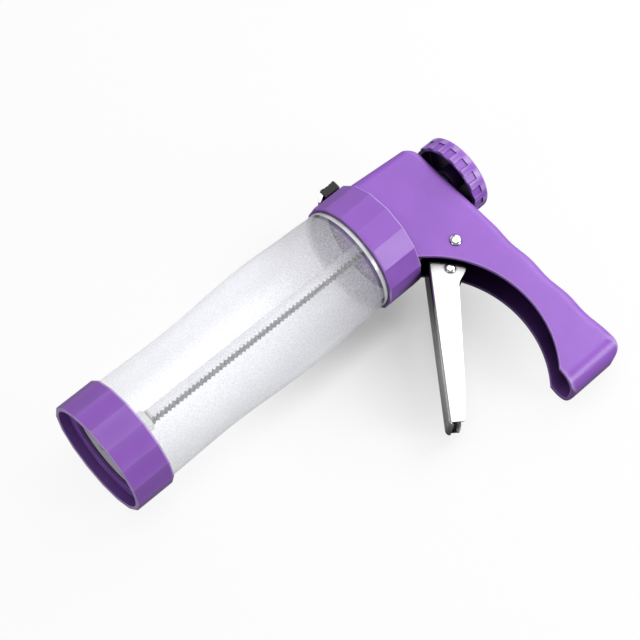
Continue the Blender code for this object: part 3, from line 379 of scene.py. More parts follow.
def metal(name, colour, rough, streak, scale, depth, lean=0.0, nook=0.003, bare=1.0):
    """Bare or plated metal whose surface has lines or pits.

    To the eye: mirror-like reflections drawn out along the lines, with the roughness and the
    tone drifting a little over the piece, and painted shade that darkens nooks narrower than nook.
    There are scale lines to the metre, depth millimetres deep, drawn out by streak along x, y and z.
    bare below one is a dull, passivated face. Real lines are finer: these are as coarse as they need
    to be to show.
    """
    made, tree, shader = blank(name)
    shader.inputs["Metallic"].default_value = bare
    where = add(tree, "TexCoord", out="Object")
    press = add(tree, "Mapping", {"Vector": where, "Rotation": (-roll, 0.0, lean)})
    drawn = add(tree, "Mapping", {"Vector": press, "Scale": streak})
    lines = add(tree, "TexNoise", {"Vector": drawn, "Scale": scale, "Detail": 4.0})
    drift = add(tree, "TexNoise", {"Vector": where, "Scale": 90.0, "Detail": 4.0})
    tone = add(tree, "ValToRGB", {"Fac": drift}, out=None)
    for end, share in zip(tone.color_ramp.elements, (0.88, 1.1)):
        end.color = (*np.minimum(np.array(linear(colour)[:3]) * share, 1), 1.0)
    # Painted shade in nooks narrower than nook.
    painted_shade = openness(tree, nook, 6, (0.66, 0.97), (0.04, 1.0))
    shaded = add(tree, "VectorMath", {0: tone.outputs[0], "Scale": painted_shade}, operation="SCALE")
    blur = add(tree, "MapRange", {"Value": lines, "From Min": 0.3, "From Max": 0.7,
                                  "To Min": rough * 0.75, "To Max": rough * 1.3})
    relief = add(tree, "Bump", {"Height": lines, "Strength": 0.3, "Distance": depth / 1000})
    plug(tree, shader, {"Base Color": shaded, "Roughness": blur, "Normal": relief})
    return made


rolled_aluminium = metal("rolled_aluminium_sheet", "#f0f0f4", 0.45, (1.0, 0.04, 1.0), 3000.0, 0.01,
                         nook=0.0004, bare=0.25)
dressed("cookie_disc", rolled_aluminium, 0.15)

# Barrel
# One piece of clear plastic, moulded in a blasted mould, so all of it is frosted but the polished
# bead at the back that seats in the collar. It swells slightly towards the back, with a straight bore.
barrel_front, barrel_back = 9.6, 173.2
end_radius, bore_radius, swell_front, swell_length = 28.0, 26.2, 22.4, 137.1
bead_front, bead_back, bead_radius = 160.1, 162.9, 28.9


def lathe(profile, turns=128):
    """A turned shape: (x, radius) stations along the rod, each spun round it in even steps."""
    return spun(profile[:, :1], profile[:, 1:], np.arange(turns) * 2 * np.pi / turns)


def barrel_profile():
    """Outside from the neck to the bead as cosine eases between stations, then back down the bore."""
    station = swell_front + swell_length * np.array([0.0, 0.27, 0.68, 0.90, 1.0])
    radius = np.array([28.5, 27.9, 30.2, 29.2, 28.7])
    share = np.linspace(0, 1, 15)[:-1]
    ease = (1 - np.cos(np.pi * share)) / 2
    x = (station[:-1, None] + np.diff(station)[:, None] * share).reshape(-1)
    swell = (radius[:-1, None] + np.diff(radius)[:, None] * ease).reshape(-1)
    side = np.stack([x, swell], -1)
    end = eased([(159.5, 28.2, 0.2), (160.0, 28.2, 0.1), (bead_front, bead_radius, 0.3),
                 (bead_back, bead_radius, 0.6), (bead_back, end_radius, 0.2),
                 (barrel_back, end_radius, 0.5), (barrel_back, bore_radius, 0.5),
                 (barrel_front, bore_radius, 0.3), (barrel_front, end_radius, 0.4),
                 (22.7, end_radius, 0.1), (22.7, 28.5, 0.0)], 4)
    return np.concatenate([side[1:], end])


def frosted(name):
    """Clear plastic from a blasted mould, polished only on the bead.

    To the eye: a milky veil with a painted glow, on the near wall towards the mouth and on the far
    wall short of the collar, stronger on the side away from the handle, that stands for the light
    inside it. The near wall is thin, the far wall hides what lies behind it and clears towards the
    back, and takes painted shade near the collar. The blasted skin sparkles and makes the veil uneven;
    its grain is drawn at about a millimetre, coarser than the real one, so that it shows. The bead is
    drawn nearly opaque white, a painted highlight for its shine; the neck in front of it is clear,
    and the bore adds no second veil.
    """
    made, tree, shader = blank(name)
    # Painted glow: the plastic emits a faint light of this colour, though it is no lamp.
    shader.inputs["Emission Color"].default_value = linear("#f6f7ff")
    coordinates = add(tree, "TexCoord", out=None)
    where, facing = coordinates.outputs["Object"], coordinates.outputs["Normal"]
    along = add(tree, "SeparateXYZ", {"Vector": where})
    back = add(tree, "NewGeometry", out="Backfacing")
    near_painted_glow, far_painted_glow, thin, far, past_skin, on_bead, shade = [
        add(tree, "MapRange", {"Value": along, "From Min": start, "From Max": end, "To Min": first,
                               "To Max": last}, interpolation_type=way)
        for start, end, first, last, way in (
            (-0.02, 0.03, 0.22, 0.0, "SMOOTHSTEP"),  # glow of the near wall, dying away from the mouth
            (0.035, 0.050, 0.28, 0.0, "SMOOTHSTEP"),  # glow of the far wall, up to the collar
            (0.015, 0.036, 0.3, 0.2, "LINEAR"),  # cover of the near wall
            (0.042, 0.054, 0.85, 0.15, "SMOOTHSTEP"),  # cover of the far wall
            (0.0372, 0.0386, 0.0, 1.0, "LINEAR"),  # end of the frosted skin, where the neck starts
            (0.0395, 0.0399, 0.0, 1.0, "LINEAR"),  # start of the bead
            (0.033, 0.048, 1.0, 0.12, "SMOOTHSTEP"))]  # far wall in the collar's shade
    rod_axis = (0.0, rest[1] / 1000, rest[2] / 1000)
    from_axis = add(tree, "VectorMath", {0: where, 1: rod_axis}, operation="SUBTRACT")
    height = add(tree, "SeparateXYZ", {"Vector": from_axis}, out=1)
    # Painted light: the glow is stronger on the side away from the handle.
    high = add(tree, "MapRange", {"Value": height, "From Min": -0.025, "From Max": 0.01,
                                  "To Min": 0.4})
    across = add(tree, "VectorMath", {0: from_axis, 1: (0.0, 1.0, 1.0)}, operation="MULTIPLY")
    outward = add(tree, "VectorMath", {0: across, 1: facing}, operation="DOT_PRODUCT", out="Value")
    side = add(tree, "Math", {0: back, 1: -2.0, 2: 1.0}, operation="MULTIPLY_ADD")
    signed = add(tree, "Math", {0: outward, 1: side}, operation="MULTIPLY")
    outside = add(tree, "Math", {0: signed, 1: 0.0}, operation="GREATER_THAN")
    slant = add(tree, "LayerWeight", {"Blend": 0.3}, out="Facing")
    speck = add(tree, "TexNoise", {"Vector": where, "Scale": 1100.0, "Detail": 1.0})
    uneven = add(tree, "MapRange", {"Value": speck, "From Min": 0.35, "From Max": 0.65,
                                    "To Min": -0.07, "To Max": 0.07})
    even = add(tree, "Math", {0: slant, 1: 0.45, 2: thin}, operation="MULTIPLY_ADD")
    near = add(tree, "Math", {0: even, 1: uneven}, operation="ADD")
    painted_glow, wall, neck, bead, dim = [
        add(tree, "Mix", {0: back, 2: on_near, 3: on_far}) for on_near, on_far in (
            (near_painted_glow, far_painted_glow), (near, far), (past_skin, 0.0), (on_bead, 0.0), (1.0, shade))]
    painted_glow_graded = add(tree, "Math", {0: painted_glow, 1: high}, operation="MULTIPLY")
    veil = add(tree, "Mix", {0: outside, 2: 0.04, 3: wall})
    necked = add(tree, "Mix", {0: neck, 2: veil, 3: 0.08})
    # Painted highlight: the bead is drawn nearly opaque white for its shine.
    beaded = add(tree, "Mix", {0: bead, 2: necked, 3: 0.9})
    shadow = add(tree, "LightPath", out="Is Shadow Ray")
    cover = add(tree, "Mix", {0: shadow, 2: beaded, 3: 0.06})
    mist = add(tree, "TexNoise", {"Vector": where, "Scale": 30.0, "Detail": 1.0})
    milk = add(tree, "ValToRGB", {"Fac": mist}, out=None)
    for end, colour in zip(milk.color_ramp.elements, ("#e4e5e8", "#f4f4f5")):
        end.color = linear(colour)
    # Painted shade on the far wall near the collar.
    milk_in_painted_shade = add(tree, "VectorMath", {0: milk.outputs[0], "Scale": dim}, operation="SCALE")
    blur = add(tree, "Mix", {0: neck, 2: 0.42, 3: 0.06})
    spark = add(tree, "TexNoise", {"Vector": where, "Scale": 1800.0, "Detail": 2.0})
    push = add(tree, "Mix", {0: neck, 2: 0.3, 3: 0.0})
    skin_relief = add(tree, "Bump", {"Height": spark, "Strength": push, "Distance": 0.00005})
    plug(tree, shader, {"Emission Strength": painted_glow_graded, "Alpha": cover, "Base Color": milk_in_painted_shade,
                        "Roughness": blur, "Normal": skin_relief})
    return made


barrel = skin("barrel_skin", [lathe(barrel_profile())], frosted("frosted_clear_plastic"), (True, True))
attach(barrel, "tube")
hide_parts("barrel")

# Piston
# White acetal cup on the front of the rod: a face, a skirt with a groove for the seal, and a hub.
# Six ribs stiffen it inside. It fills the bore and pushes the dough.
face_x, face_back, hub_x, skirt_back = 11.4, 13.2, 31.4, 23.4
piston_radius, skirt_inside, groove_radius, hub_bore, screw_room = 25.7, 22.3, 24.1, 3.3, 1.9


def ribs(count, low, high, inner, outer, thickness):
    """Thin radial plates: a rectangle beside the rod, drawn to its middle on both faces."""
    outline = np.array([(low, inner), (low, outer), (high, outer), (high, inner)], float)
    middle = outline.mean(0)
    flat = middle + (outline - middle) * np.array([0.0, 1.0, 1.0, 0.0])[:, None, None]
    side = np.array([-1, -1, 1, 1])[:, None] * thickness / 2 + np.zeros((4, 4))
    turn = np.arange(count)[:, None, None] * 2 * np.pi / count
    return list(np.stack([flat[..., 0] + 0 * turn,
                          flat[..., 1] * np.cos(turn) - side * np.sin(turn),
                          flat[..., 1] * np.sin(turn) + side * np.cos(turn)], -1))


piston_profile = eased([
    (hub_x, 5.6, 0.4), (face_back, 7.0, 0.6), (face_back, skirt_inside, 0.6),
    (skirt_back, skirt_inside, 0.4), (skirt_back, piston_radius, 0.4), (17.8, piston_radius, 0.3),
    (17.8, groove_radius, 0.0), (14.8, groove_radius, 0.0), (14.8, piston_radius, 0.3),
    (face_x, piston_radius, 0.8), (face_x, 4.3, 0.3), (13.3, 4.3, 0.0), (13.3, screw_room, 0.0),
    (21.4, screw_room, 0.0), (21.4, hub_bore, 0.0), (hub_x, hub_bore, 0.3)], 4)
white_acetal = moulded("white_moulded_acetal", "#e9e8e4", 0.38, 0.9)
piston = skin("piston_skin", [lathe(piston_profile)] + ribs(6, 12.6, 19.2, 6.0, 22.8, 1.4),
              white_acetal, (True, True))
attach(piston, "plunger")
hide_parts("piston")

# Piston seal
# Silicone ring in the groove of the piston, with a lip that wipes the bore.
# It is moulded, milky and matt, and lies loose in its groove.
seal_profile = eased([(16.3, 25.9, 0.4), (15.1, 25.2, 0.3), (15.1, 24.4, 0.2), (17.5, 24.4, 0.2),
                      (17.5, 25.2, 0.3)], 3)
seal = skin("piston_seal_skin", [lathe(seal_profile)], moulded("milky_silicone", "#cfd2d8", 0.62),
            (True, True))
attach(seal, "plunger")
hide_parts("piston_seal")

# Toothed rod
# Zinc-plated steel bar that carries the piston. Its underside is cut to a rack of sharp teeth,
# which the drive plate bites into at each squeeze of the trigger.
rod_radius, nose_x, rod_front, rod_back = 4.0, 21.7, 31.7, 238.1
pitch, crest, root = 2.5, 3.7, 2.5
tooth_front, tooth_count = 33.4, 66
uncut, nose_radius = 9.0, 3.0


def rack():
    """The bar cut by its teeth: the radius at each angle is the lesser of the bar's and the tooth's.

    A tooth's depth below the axis over the cosine of the angle from straight down is its radius.
    """
    first = tooth_front + pitch * np.arange(tooth_count)[:, None]
    teeth = np.stack([first + np.array([0.0, 0.12, 1.19, 1.31, 2.38]),
                      0 * first + np.array([crest, crest, root, root, crest])], -1).reshape(-1, 2)
    tooth_back = tooth_front + pitch * tooth_count
    ends = [(nose_x, uncut, 0.0), (nose_x, uncut, nose_radius - 0.3),
            (nose_x + 0.3, uncut, nose_radius), (rod_front, uncut, nose_radius),
            (rod_front, uncut, rod_radius - 0.4), (rod_front + 0.4, uncut, rod_radius),
            (tooth_front - 0.05, uncut, rod_radius)]
    last = [(tooth_back, crest, rod_radius), (tooth_back + 0.05, uncut, rod_radius),
            (rod_back - 0.4, uncut, rod_radius), (rod_back, uncut, rod_radius - 0.4),
            (rod_back, uncut, 0.0)]
    middle = np.column_stack([teeth, np.full(len(teeth), rod_radius)])
    x, depth, radius = np.concatenate([np.array(ends), middle, np.array(last)]).T[:, :, None]
    turn = np.radians(np.concatenate([np.arange(-56, 57, 2), np.arange(64, 300, 8)]))
    down = np.cos(turn)
    cut = np.where(down > 0.2, depth / np.maximum(down, 0.2), uncut)
    reach = np.minimum(radius, cut)
    return spun(x, reach, turn) * (1, -1, 1)


def rack_with_painted_shade(name):
    """Zinc plate with painted shade on the toothed side of the bar.

    To the eye: the plain side is pale and bright, and the teeth draw a dark saw-edged line of painted
    shade. The edge is a triangle wave of the teeth's pitch, 1.6 to 2.6 mm below the axis.
    """
    made = metal(name, "#e6e6e8", 0.35, (0.05, 1.0, 1.0), 2500.0, 0.012, bare=0.5)
    tree, shader = made.node_tree, made.node_tree.nodes["Principled BSDF"]
    plain = shader.inputs["Base Color"].links[0].from_socket
    where = add(tree, "TexCoord", out="Object")
    axis_off = 0.04857  # from the turned frame's middle to the rod's axis, in metres
    level = add(tree, "Mapping", {"Vector": where, "Location": (0.0, -axis_off, 0.0),
                                  "Rotation": (-roll, 0.0, 0.0)})
    press = add(tree, "SeparateXYZ", {"Vector": level}, out=None)
    saw = add(tree, "Math", {0: press.outputs[0], 1: pitch / 2000}, operation="PINGPONG")
    edge = add(tree, "Math", {0: saw, 1: 0.8, 2: press.outputs[1]}, operation="MULTIPLY_ADD")
    # Painted shade of the teeth: below the saw edge the colour falls to 0.08 of its own.
    painted_teeth_shade = add(tree, "MapRange", {"Value": edge, "From Min": -0.0018, "From Max": -0.0013,
                                   "To Min": 0.08})
    shaded = add(tree, "VectorMath", {0: plain, "Scale": painted_teeth_shade}, operation="SCALE")
    plug(tree, shader, {"Base Color": shaded})
    return made


rod = skin("toothed_rod_skin", [rack()], rack_with_painted_shade("zinc_plate_with_painted_teeth_shade"))
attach(rod, "rod")
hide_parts("toothed_rod")

# Screws of the piston and the knob
# Slotted pan-head screws, turned and plated: one through the face of the piston, one through the knob.
# Their heads keep the fine rings of the lathe beside the milled slot.
plated = metal("zinc_plated_steel", "#d6d6d8", 0.25, (0.05, 1.0, 1.0), 2500.0, 0.012, bare=0.8)
dressed("piston_screw", plated, 0.12)
dressed("knob_screw", plated, 0.12)

# Rear ring
# Faceted collar of the same ABS, bonded to the housing: a socket for the barrel, a bulkhead that
# carries the rod, a bay behind it for the brake plate, and a shallow pocket under the release cap.
ring_x, ring_end, bulkhead_x, bay_x = 163.2, 184.3, 173.5, 176.5
rear_turn = -np.pi / 2 - roll - np.pi / flats
pocket_x, pocket_y, pocket_half, rod_hole = 168.1, 30.0, 6.5, 4.5
bay_top, bay_low, bay_half, tongue_half, bay_mark = 25.0, 25.5, 9.0, 4.6, 20.0


def rear_ring_grid():
    """The faceted ring with the bay, the pocket and the tongue's slot cut at the angles they take.

    Bay: the profile's corners at bay_mark take a flat's distance over the cosine of the angle from
    it. Pocket: the same rule for its floor. Slot: what lies behind the bay's front is drawn onto it.
    """
    edges = np.array([np.arctan2(pocket_half, pocket_y), np.arctan2(tongue_half, bay_top),
                      np.arctan2(bay_half, bay_top), np.arctan2(bay_half, -bay_low), 0.08])
    edges = np.concatenate([edges, edges[:2] + 0.004])
    turns = ring_turns(rear_turn, np.concatenate([edges, -edges]))
    off = np.abs((turns + np.pi) % (2 * np.pi) - np.pi)
    profile = eased([
        (ring_end, corner_radius, rim_round), (ring_end, bay_mark, 0.0), (bay_x, bay_mark, 0.0),
        (bay_x, rod_hole, 0.2), (bulkhead_x, rod_hole, 0.2), (bulkhead_x, neck_room, 0.4),
        (ring_x, neck_room, 0.5), (ring_x, corner_radius, rim_round), (pocket_x, corner_radius, 0.0),
        (pocket_x + 0.1, corner_radius, 0.0)])
    grid = faceted(profile, turns, rear_turn)
    radius = np.hypot(grid[..., 1], grid[..., 2])
    up, side = np.cos(turns), np.abs(np.sin(turns))
    bay = np.minimum(np.where(up > 0, bay_top, bay_low) / np.maximum(np.abs(up), 1e-6),
                     bay_half / np.maximum(side, 1e-6))
    at_bay = np.abs(profile[:, 1:] - bay_mark) < 0.01
    radius = np.where(at_bay, bay, radius)
    floor = np.where(off < edges[0] + 0.001, pocket_y / np.maximum(up, 0.5), 99.0)
    radius = np.where(profile[:, :1] > pocket_x + 0.05, np.minimum(radius, floor), radius)
    x = np.where(off < edges[1] + 0.001, np.minimum(grid[..., 0], bay_x), grid[..., 0])
    return spun(x, radius, turns)


# A painted highlight line runs round the collar's back edge.
rear_ring = skin("rear_ring_skin", [rear_ring_grid()],
                 moulded("satin_purple_abs_collar", purple, satin, highlight_rims=((ring_end, 0.6),)),
                 (True, True))
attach(rear_ring, "grip")
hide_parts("rear_ring")

# Brake plate
# Stamped stainless plate round the rod in the bay of the collar; it tips and bites the rod, so the
# plunger can't slip back. Its upper end is folded forward and shows as a bright ramp before the cap.
stainless = metal("polished_stainless_sheet", "#dcdcde", 0.13, (1.0, 0.06, 1.0), 1800.0, 0.006)
dressed("brake_plate", stainless, 0.2)

# Release cap
# Glossy black ABS cap pressed on the folded end of the brake plate, for the thumb.
# Its top is hollowed a little and has fine ribs across it.
cap_front, cap_back, cap_low, cap_high, cap_half = 175.6, 185.2, 31.1, 36.3, 6.0
cap_round, dip_depth, rib_height = 0.7, 0.45, 0.15


def cap_grid():
    """The cap's side outline carried across it, drawn in towards both sides by a quarter round."""
    share = np.linspace(0, 1, 25)[1:-1]
    top_x = cap_front + 0.9 + (cap_back - cap_front - 1.8) * share
    fine_ribs = rib_height * np.cos(7 * np.pi * share) * (np.abs(share - 0.5) < 0.4)
    dip = dip_depth * np.sin(np.pi * share) + fine_ribs
    outline = eased([(cap_front, cap_low, 0.5), (cap_front, cap_high, 0.9), (cap_back, cap_high, 0.9),
                     (cap_back, cap_low, 0.5)], 6)
    side = np.concatenate([outline[:14], np.stack([top_x, cap_high - dip], -1), outline[14:]])
    middle = np.array([(cap_front + cap_back) / 2, (cap_low + cap_high) / 2])
    turn = np.linspace(0, np.pi / 2, 6)
    drawn, to_middle = cap_round * (1 - np.cos(turn)), 9.0
    inset = np.concatenate([[to_middle], drawn[::-1], drawn, [to_middle]])
    half = np.concatenate([[cap_half], cap_half - cap_round + cap_round * np.sin(turn)[::-1]])
    z = np.concatenate([-half, half[::-1]])
    size = np.array([cap_back - cap_front, cap_high - cap_low]) / 2
    scale = np.clip(1 - inset[:, None] / size, 0, 1)
    flat = middle + (side - middle) * scale[:, None, :]
    return np.concatenate([flat, np.broadcast_to(z[:, None, None], (len(z), len(side), 1))], -1)


gloss_black = moulded("gloss_black_moulded_abs", "#0d0d10", 0.12)
cap = skin("release_cap_skin", [cap_grid()], gloss_black)
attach(cap, "brake")
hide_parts("release_cap")

# Springs
# Two compression springs wound from bright spring wire round the rod: a strong one that brings
# the drive plate back, and a short one that keeps the brake plate tipped.
def coil(start, end, mean_radius, wire, turns):
    """A tube along a helix: the wire's ring of points stands square to the helix at every step."""
    share = np.linspace(0, 1, int(turns * 36) + 1)[:, None]
    angle = 2 * np.pi * turns * share
    length = end - start - 2 * wire
    lead = length / (2 * np.pi * turns * mean_radius)
    around = np.arange(12) * np.pi / 6
    reach = mean_radius + wire * np.cos(around)
    rise = wire * np.sin(around) / np.hypot(1, lead)
    x = start + wire + length * share + rise
    grid = np.stack([x, reach * np.cos(angle) + lead * rise * np.sin(angle),
                     reach * np.sin(angle) - lead * rise * np.cos(angle)], -1)
    first, last = [np.broadcast_to(end_ring.mean(1, keepdims=True), end_ring.shape)
                   for end_ring in (grid[:1], grid[-1:])]
    return np.concatenate([first, grid, last])


spring_steel = metal("bright_spring_wire", "#a9aaae", 0.22, (1.0, 1.0, 1.0), 1500.0, 0.006)
for name, start, end, mean, wire, turns, joint, keep in (
        ("drive_spring", 187.3, 206.8, 5.7, 0.7, 6, "drive_slide", 0.46),
        ("brake_spring", 176.8, 180.5, 5.35, 0.35, 2, "brake_tilt", 0.6)):
    spring = skin(name + "_skin", [coil(start, end, mean, wire, turns)], spring_steel)
    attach(spring, "grip")
    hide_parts(name)
    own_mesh(spring)

# Housing
# Pistol-grip body in one hollow moulding of the same ABS, open in front of the handle. Its flanks
# are flat with soft edges, its back has three shallow finger waves, and its wall shows all along
# the throat. Bosses inside carry the trigger's pin, and a web closes it towards the collar.
front_x, top_y, tip_y, half_width, wall = 184.6, 27.5, -126.5, 12.5, 2.2
throat_y, lip_y, sagitta = -24.7, -113.8, 20.7
pivot_x, pivot_y, bush_hole = 206.1, -30.8, 6.2
tip_round, edge_round, low_corner, high_corner = 10.0, 5.0, 8.0, 9.0
flat_half, back_extra, nose_round = half_width - edge_round, 0.9, 2.5
row_step, top_slope, slope_length, slope_from = 1.1, 3.0, 44.0, 8.0
wave_top, wave_length, wave_depth, back_lean, back_middle = -36.0, 26.0, 0.45, np.radians(1.1), 229.2
# Painted shade darkens its hollows, such as the inside of the handle, down to 0.18 of the colour.
abs_purple = moulded("satin_purple_moulded_abs", purple, satin)


def back_at(y, waves=True):
    """Back of the housing at a height: it leans by 1.1 degrees and dips in three cosine waves."""
    down = wave_top - y
    dips = wave_depth * (1 - np.cos(2 * np.pi * down / wave_length))
    wave = np.where((down > 0) & (down < 3 * wave_length) & waves, dips, 0.0)
    lean = np.sin(back_lean)
    return back_middle - (top_y - tip_y) * lean / 2 + (top_y - y) * lean - wave


def throat_at(y):
    """Front edge at a height: straight behind the collar, then the round throat, then the tip's lip."""
    lip_x = float(back_at(lip_y)) - 34.0
    low, high = np.array([lip_x, lip_y]), np.array([front_x, throat_y])
    chord = np.linalg.norm(high - low)
    radius = (chord ** 2 / 4 + sagitta ** 2) / (2 * sagitta)
    across = np.array([(high - low)[1], -(high - low)[0]]) / chord
    centre = (low + high) / 2 + across * (sagitta - radius)
    arc = centre[0] + half_chord(radius, y - centre[1])
    tip = lip_x - 1.25 * (lip_y - y) / (lip_y - tip_y)
    below = np.maximum(tip_y + nose_round - y, 0)
    nose = tip + nose_round - half_chord(nose_round, below)
    return np.where(y >= throat_y, front_x, np.where(y >= lip_y, arc, nose))


def housing_grid():
    """Rows up the handle, each a closed section: flank, rounded back, flank, and back along the inside.

    The half width follows a quarter round at the top and the tip, the back another at its two
    corners, and the last rows shrink to the middle plane, so both ends close. The top then sinks
    towards the back, in proportion to the distance from the collar.
    """
    arc = np.linspace(0, np.pi / 2, 12)
    low, high, tip_flat = tip_y + tip_round, top_y - edge_round, half_width - tip_round
    straight = np.sort(np.concatenate([np.arange(low + row_step, high, row_step),
                                       [throat_y, lip_y, lip_y - 0.4]]))

    def rows(low_round, high_round, half):
        """Heights and half widths of the section's rows for one face of the wall."""
        y = np.concatenate([[low - low_round] * 3, low - low_round * np.cos(arc)[1:], straight,
                            high + high_round * np.sin(arc), [high + high_round] * 2])
        z = np.concatenate([[0.0, 1.2, tip_flat], tip_flat + low_round * np.sin(arc)[1:],
                            0 * straight + half, flat_half + high_round * np.cos(arc), [4.0, 0.0]])
        return y[:, None], z[:, None]

    def back_corners(y, back, low_radius, high_radius):
        """Draws the back in over its rounded corners, seen from the side."""
        down = np.maximum(y.min() + low_radius - y, 0)
        up = np.maximum(y - y.max() + high_radius, 0)
        low_end, high_end = half_chord(low_radius, down), half_chord(high_radius, up)
        return back - low_radius + low_end - high_radius + high_end

    def side(y, half, back, bend, front):
        """From the front edge along the flank, round the bend and to the middle of the back."""
        turn = np.linspace(0, np.pi / 2, 8)[1:]
        flank_x = front + (back - bend - front) * np.linspace(0, 1, 18)
        bend_x = back - bend + bend * np.sin(turn)
        bend_z = np.minimum(half, flat_half + bend * np.cos(turn))
        back_z = np.minimum(half, flat_half * np.linspace(1, 0, 6)[1:])
        x = np.concatenate([flank_x, bend_x, back + 0 * back_z], 1)
        z = np.concatenate([half + 0 * flank_x, bend_z, back_z], 1)
        return np.stack([x, y + 0 * x, z], -1)

    y_out, half_out = rows(tip_round, edge_round, half_width)
    y_in, half_in = rows(tip_round - wall, edge_round - wall, half_width - wall)
    edge_out, edge_in = throat_at(y_out), throat_at(y_in)
    back_out = back_corners(y_out, back_at(y_out), low_corner, high_corner)
    back_in = back_corners(y_in, back_at(y_in, False) - wall - back_extra, low_corner - wall,
                           high_corner - wall)
    outer = side(y_out, half_out, back_out, edge_round, edge_out + 0.5)
    inner = side(y_in, half_in, back_in, edge_round - wall, edge_in + 0.4)
    share = np.array([0.06, 0.2, 0.5, 0.82, 0.95])
    ease = np.array([0.15, 0.0, 0.0, 0.0, 0.12])
    rim = np.stack([edge_out + (edge_in - edge_out) * share + ease, y_out + (y_in - y_out) * share,
                    half_out + (half_in - half_out) * share], -1)
    far = np.array([1.0, 1.0, -1.0])
    grid = np.concatenate([outer * far, outer[:, -2::-1], rim, inner, inner[:, -2::-1] * far,
                           rim[:, ::-1] * far], 1)
    slope = top_slope * np.clip((grid[..., 0] - front_x) / slope_length, 0, 1)
    grid[..., 1] -= slope * np.clip((grid[..., 1] - slope_from) / (top_y - slope_from), 0, 1)
    return grid


def rod_way():
    """The back wall round the rod: from a square window's edge to the bush's hole, and back inside."""
    up = tip_y + tip_round + row_step * np.arange(99, 114)
    across = flat_half * np.linspace(1, -1, 11)
    y = np.concatenate([up, 0 * across[1:] + up[-1], up[-2::-1], 0 * across[1:-1] + up[0]])
    z = np.concatenate([0 * up + across[0], across[1:], 0 * up[1:] + across[-1], across[-2:0:-1]])
    turn = np.arctan2(z, y)
    hole_y, hole_z = bush_hole * np.cos(turn), bush_hole * np.sin(turn)
    return np.array([np.stack([back_at(y), y, z], -1), np.stack([back_at(hole_y), hole_y, hole_z], -1),
                     np.stack([back_at(hole_y) - wall - back_extra, hole_y, hole_z], -1),
                     np.stack([back_at(y) - wall - back_extra, y, z], -1)])


def front_web():
    """The wall behind the collar: round the rod's hole, out to a rectangle, and back behind it."""
    half, high, low = half_width - wall / 2, top_y - wall / 2, (24.75, 26.2)
    near_x, far_x = 184.65, 187.0
    corners = [np.arctan2(half, reach) for reach in (high, -low[0], -low[1])]
    turn = np.concatenate([np.arange(72) * np.pi / 36, corners, np.negative(corners)])
    turn = np.sort(turn % (2 * np.pi))
    up, side = np.cos(turn), np.sin(turn)
    sides = half / np.maximum(np.abs(side), 1e-6)
    wide = [np.minimum(sides, np.where(up > 0, high, reach) / np.maximum(np.abs(up), 1e-6))
            for reach in low]
    hole = rod_hole + 0 * turn
    return np.stack([spun(x, radius, turn) for x, radius in (
        (near_x, hole), (near_x, wide[0]), (far_x, wide[1]), (far_x, hole), (near_x, hole))])


def upright(profile, middle, steps=48):
    """A turned shape across the press: (z, radius) stations spun round an axis at (x, y)."""
    return lathe(profile, steps)[..., [1, 2, 0]] + (*middle, 0.0)


shell = housing_grid()
beside = np.roll(shell, -1, 1)
cell = (shell[:-1] + shell[1:] + beside[:-1] + beside[1:]) / 4
window = (np.abs(cell[..., 1]) < 7.7) & (np.abs(cell[..., 2]) < flat_half) & (cell[..., 0] > 215)
boss = eased([(8.3, 2.8, 0.2), (8.3, 6.0, 0.4), (11.5, 6.0, 0.0), (11.5, 2.8, 0.0)], 3)
boss = np.concatenate([boss, boss[:1]])
housing = skin("housing_skin", [shell, rod_way(), front_web(), upright(boss, (pivot_x, pivot_y)),
                                upright(boss * (-1, 1), (pivot_x, pivot_y))],
               abs_purple, (False, True), window)
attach(housing, "grip")
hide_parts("housing")

# Guide bush
# Flanged acetal bush, moulded white, which carries the rod. It is pressed into the housing's back
# wall from inside, so only its end shows round the rod.
dressed("guide_bush", white_acetal, 0.15)

# Pivot pin
# Polished steel pin on which the trigger swings. It goes through the housing and the trigger's ears,
# and is headed over to a low dome at each end.
def domed(radius, head_radius, head_height, reach):
    """Half a pin, then mirrored: a dome's quarter round, a shoulder, a shank."""
    turn = np.linspace(np.pi / 2, 0.12, 9)
    head = np.stack([reach + head_height * np.sin(turn), head_radius * np.cos(turn)], -1)
    half = np.concatenate([head, [(reach + 0.05, head_radius), (reach, head_radius - 0.1),
                                  (reach, radius)]])
    return np.concatenate([half, half[::-1] * (-1, 1)])


polished = metal("polished_steel_pin", "#e3e3e4", 0.1, (1.0, 1.0, 1.0), 900.0, 0.004)
pin = skin("pivot_pin_skin", [upright(domed(2.5, 3.1, 1.1, 12.8), (pivot_x, pivot_y))], polished)
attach(pin, "grip")
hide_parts("pivot_pin")

# Trigger
# One stainless sheet, a millimetre thick, folded to a channel: a web in front for the fingers and
# two flanges that end in ears round the pin. Its low end curls in a little. It is polished lengthwise.
trigger_lean = np.radians(36.8)
web_x, web_top, web_low, ear, flange = -14.7, 2.0, -96.0, 7.2, 8.0
fold_round, end_curl, corner_round = 1.6, 2.4, 1.5


def leaned(x, y, z):
    """From the trigger's own upright frame to the press: a turn by the lean, then a shift."""
    return np.stack([pivot_x + x * np.cos(trigger_lean) + y * np.sin(trigger_lean),
                     pivot_y - x * np.sin(trigger_lean) + y * np.cos(trigger_lean), z + 0 * x], -1)


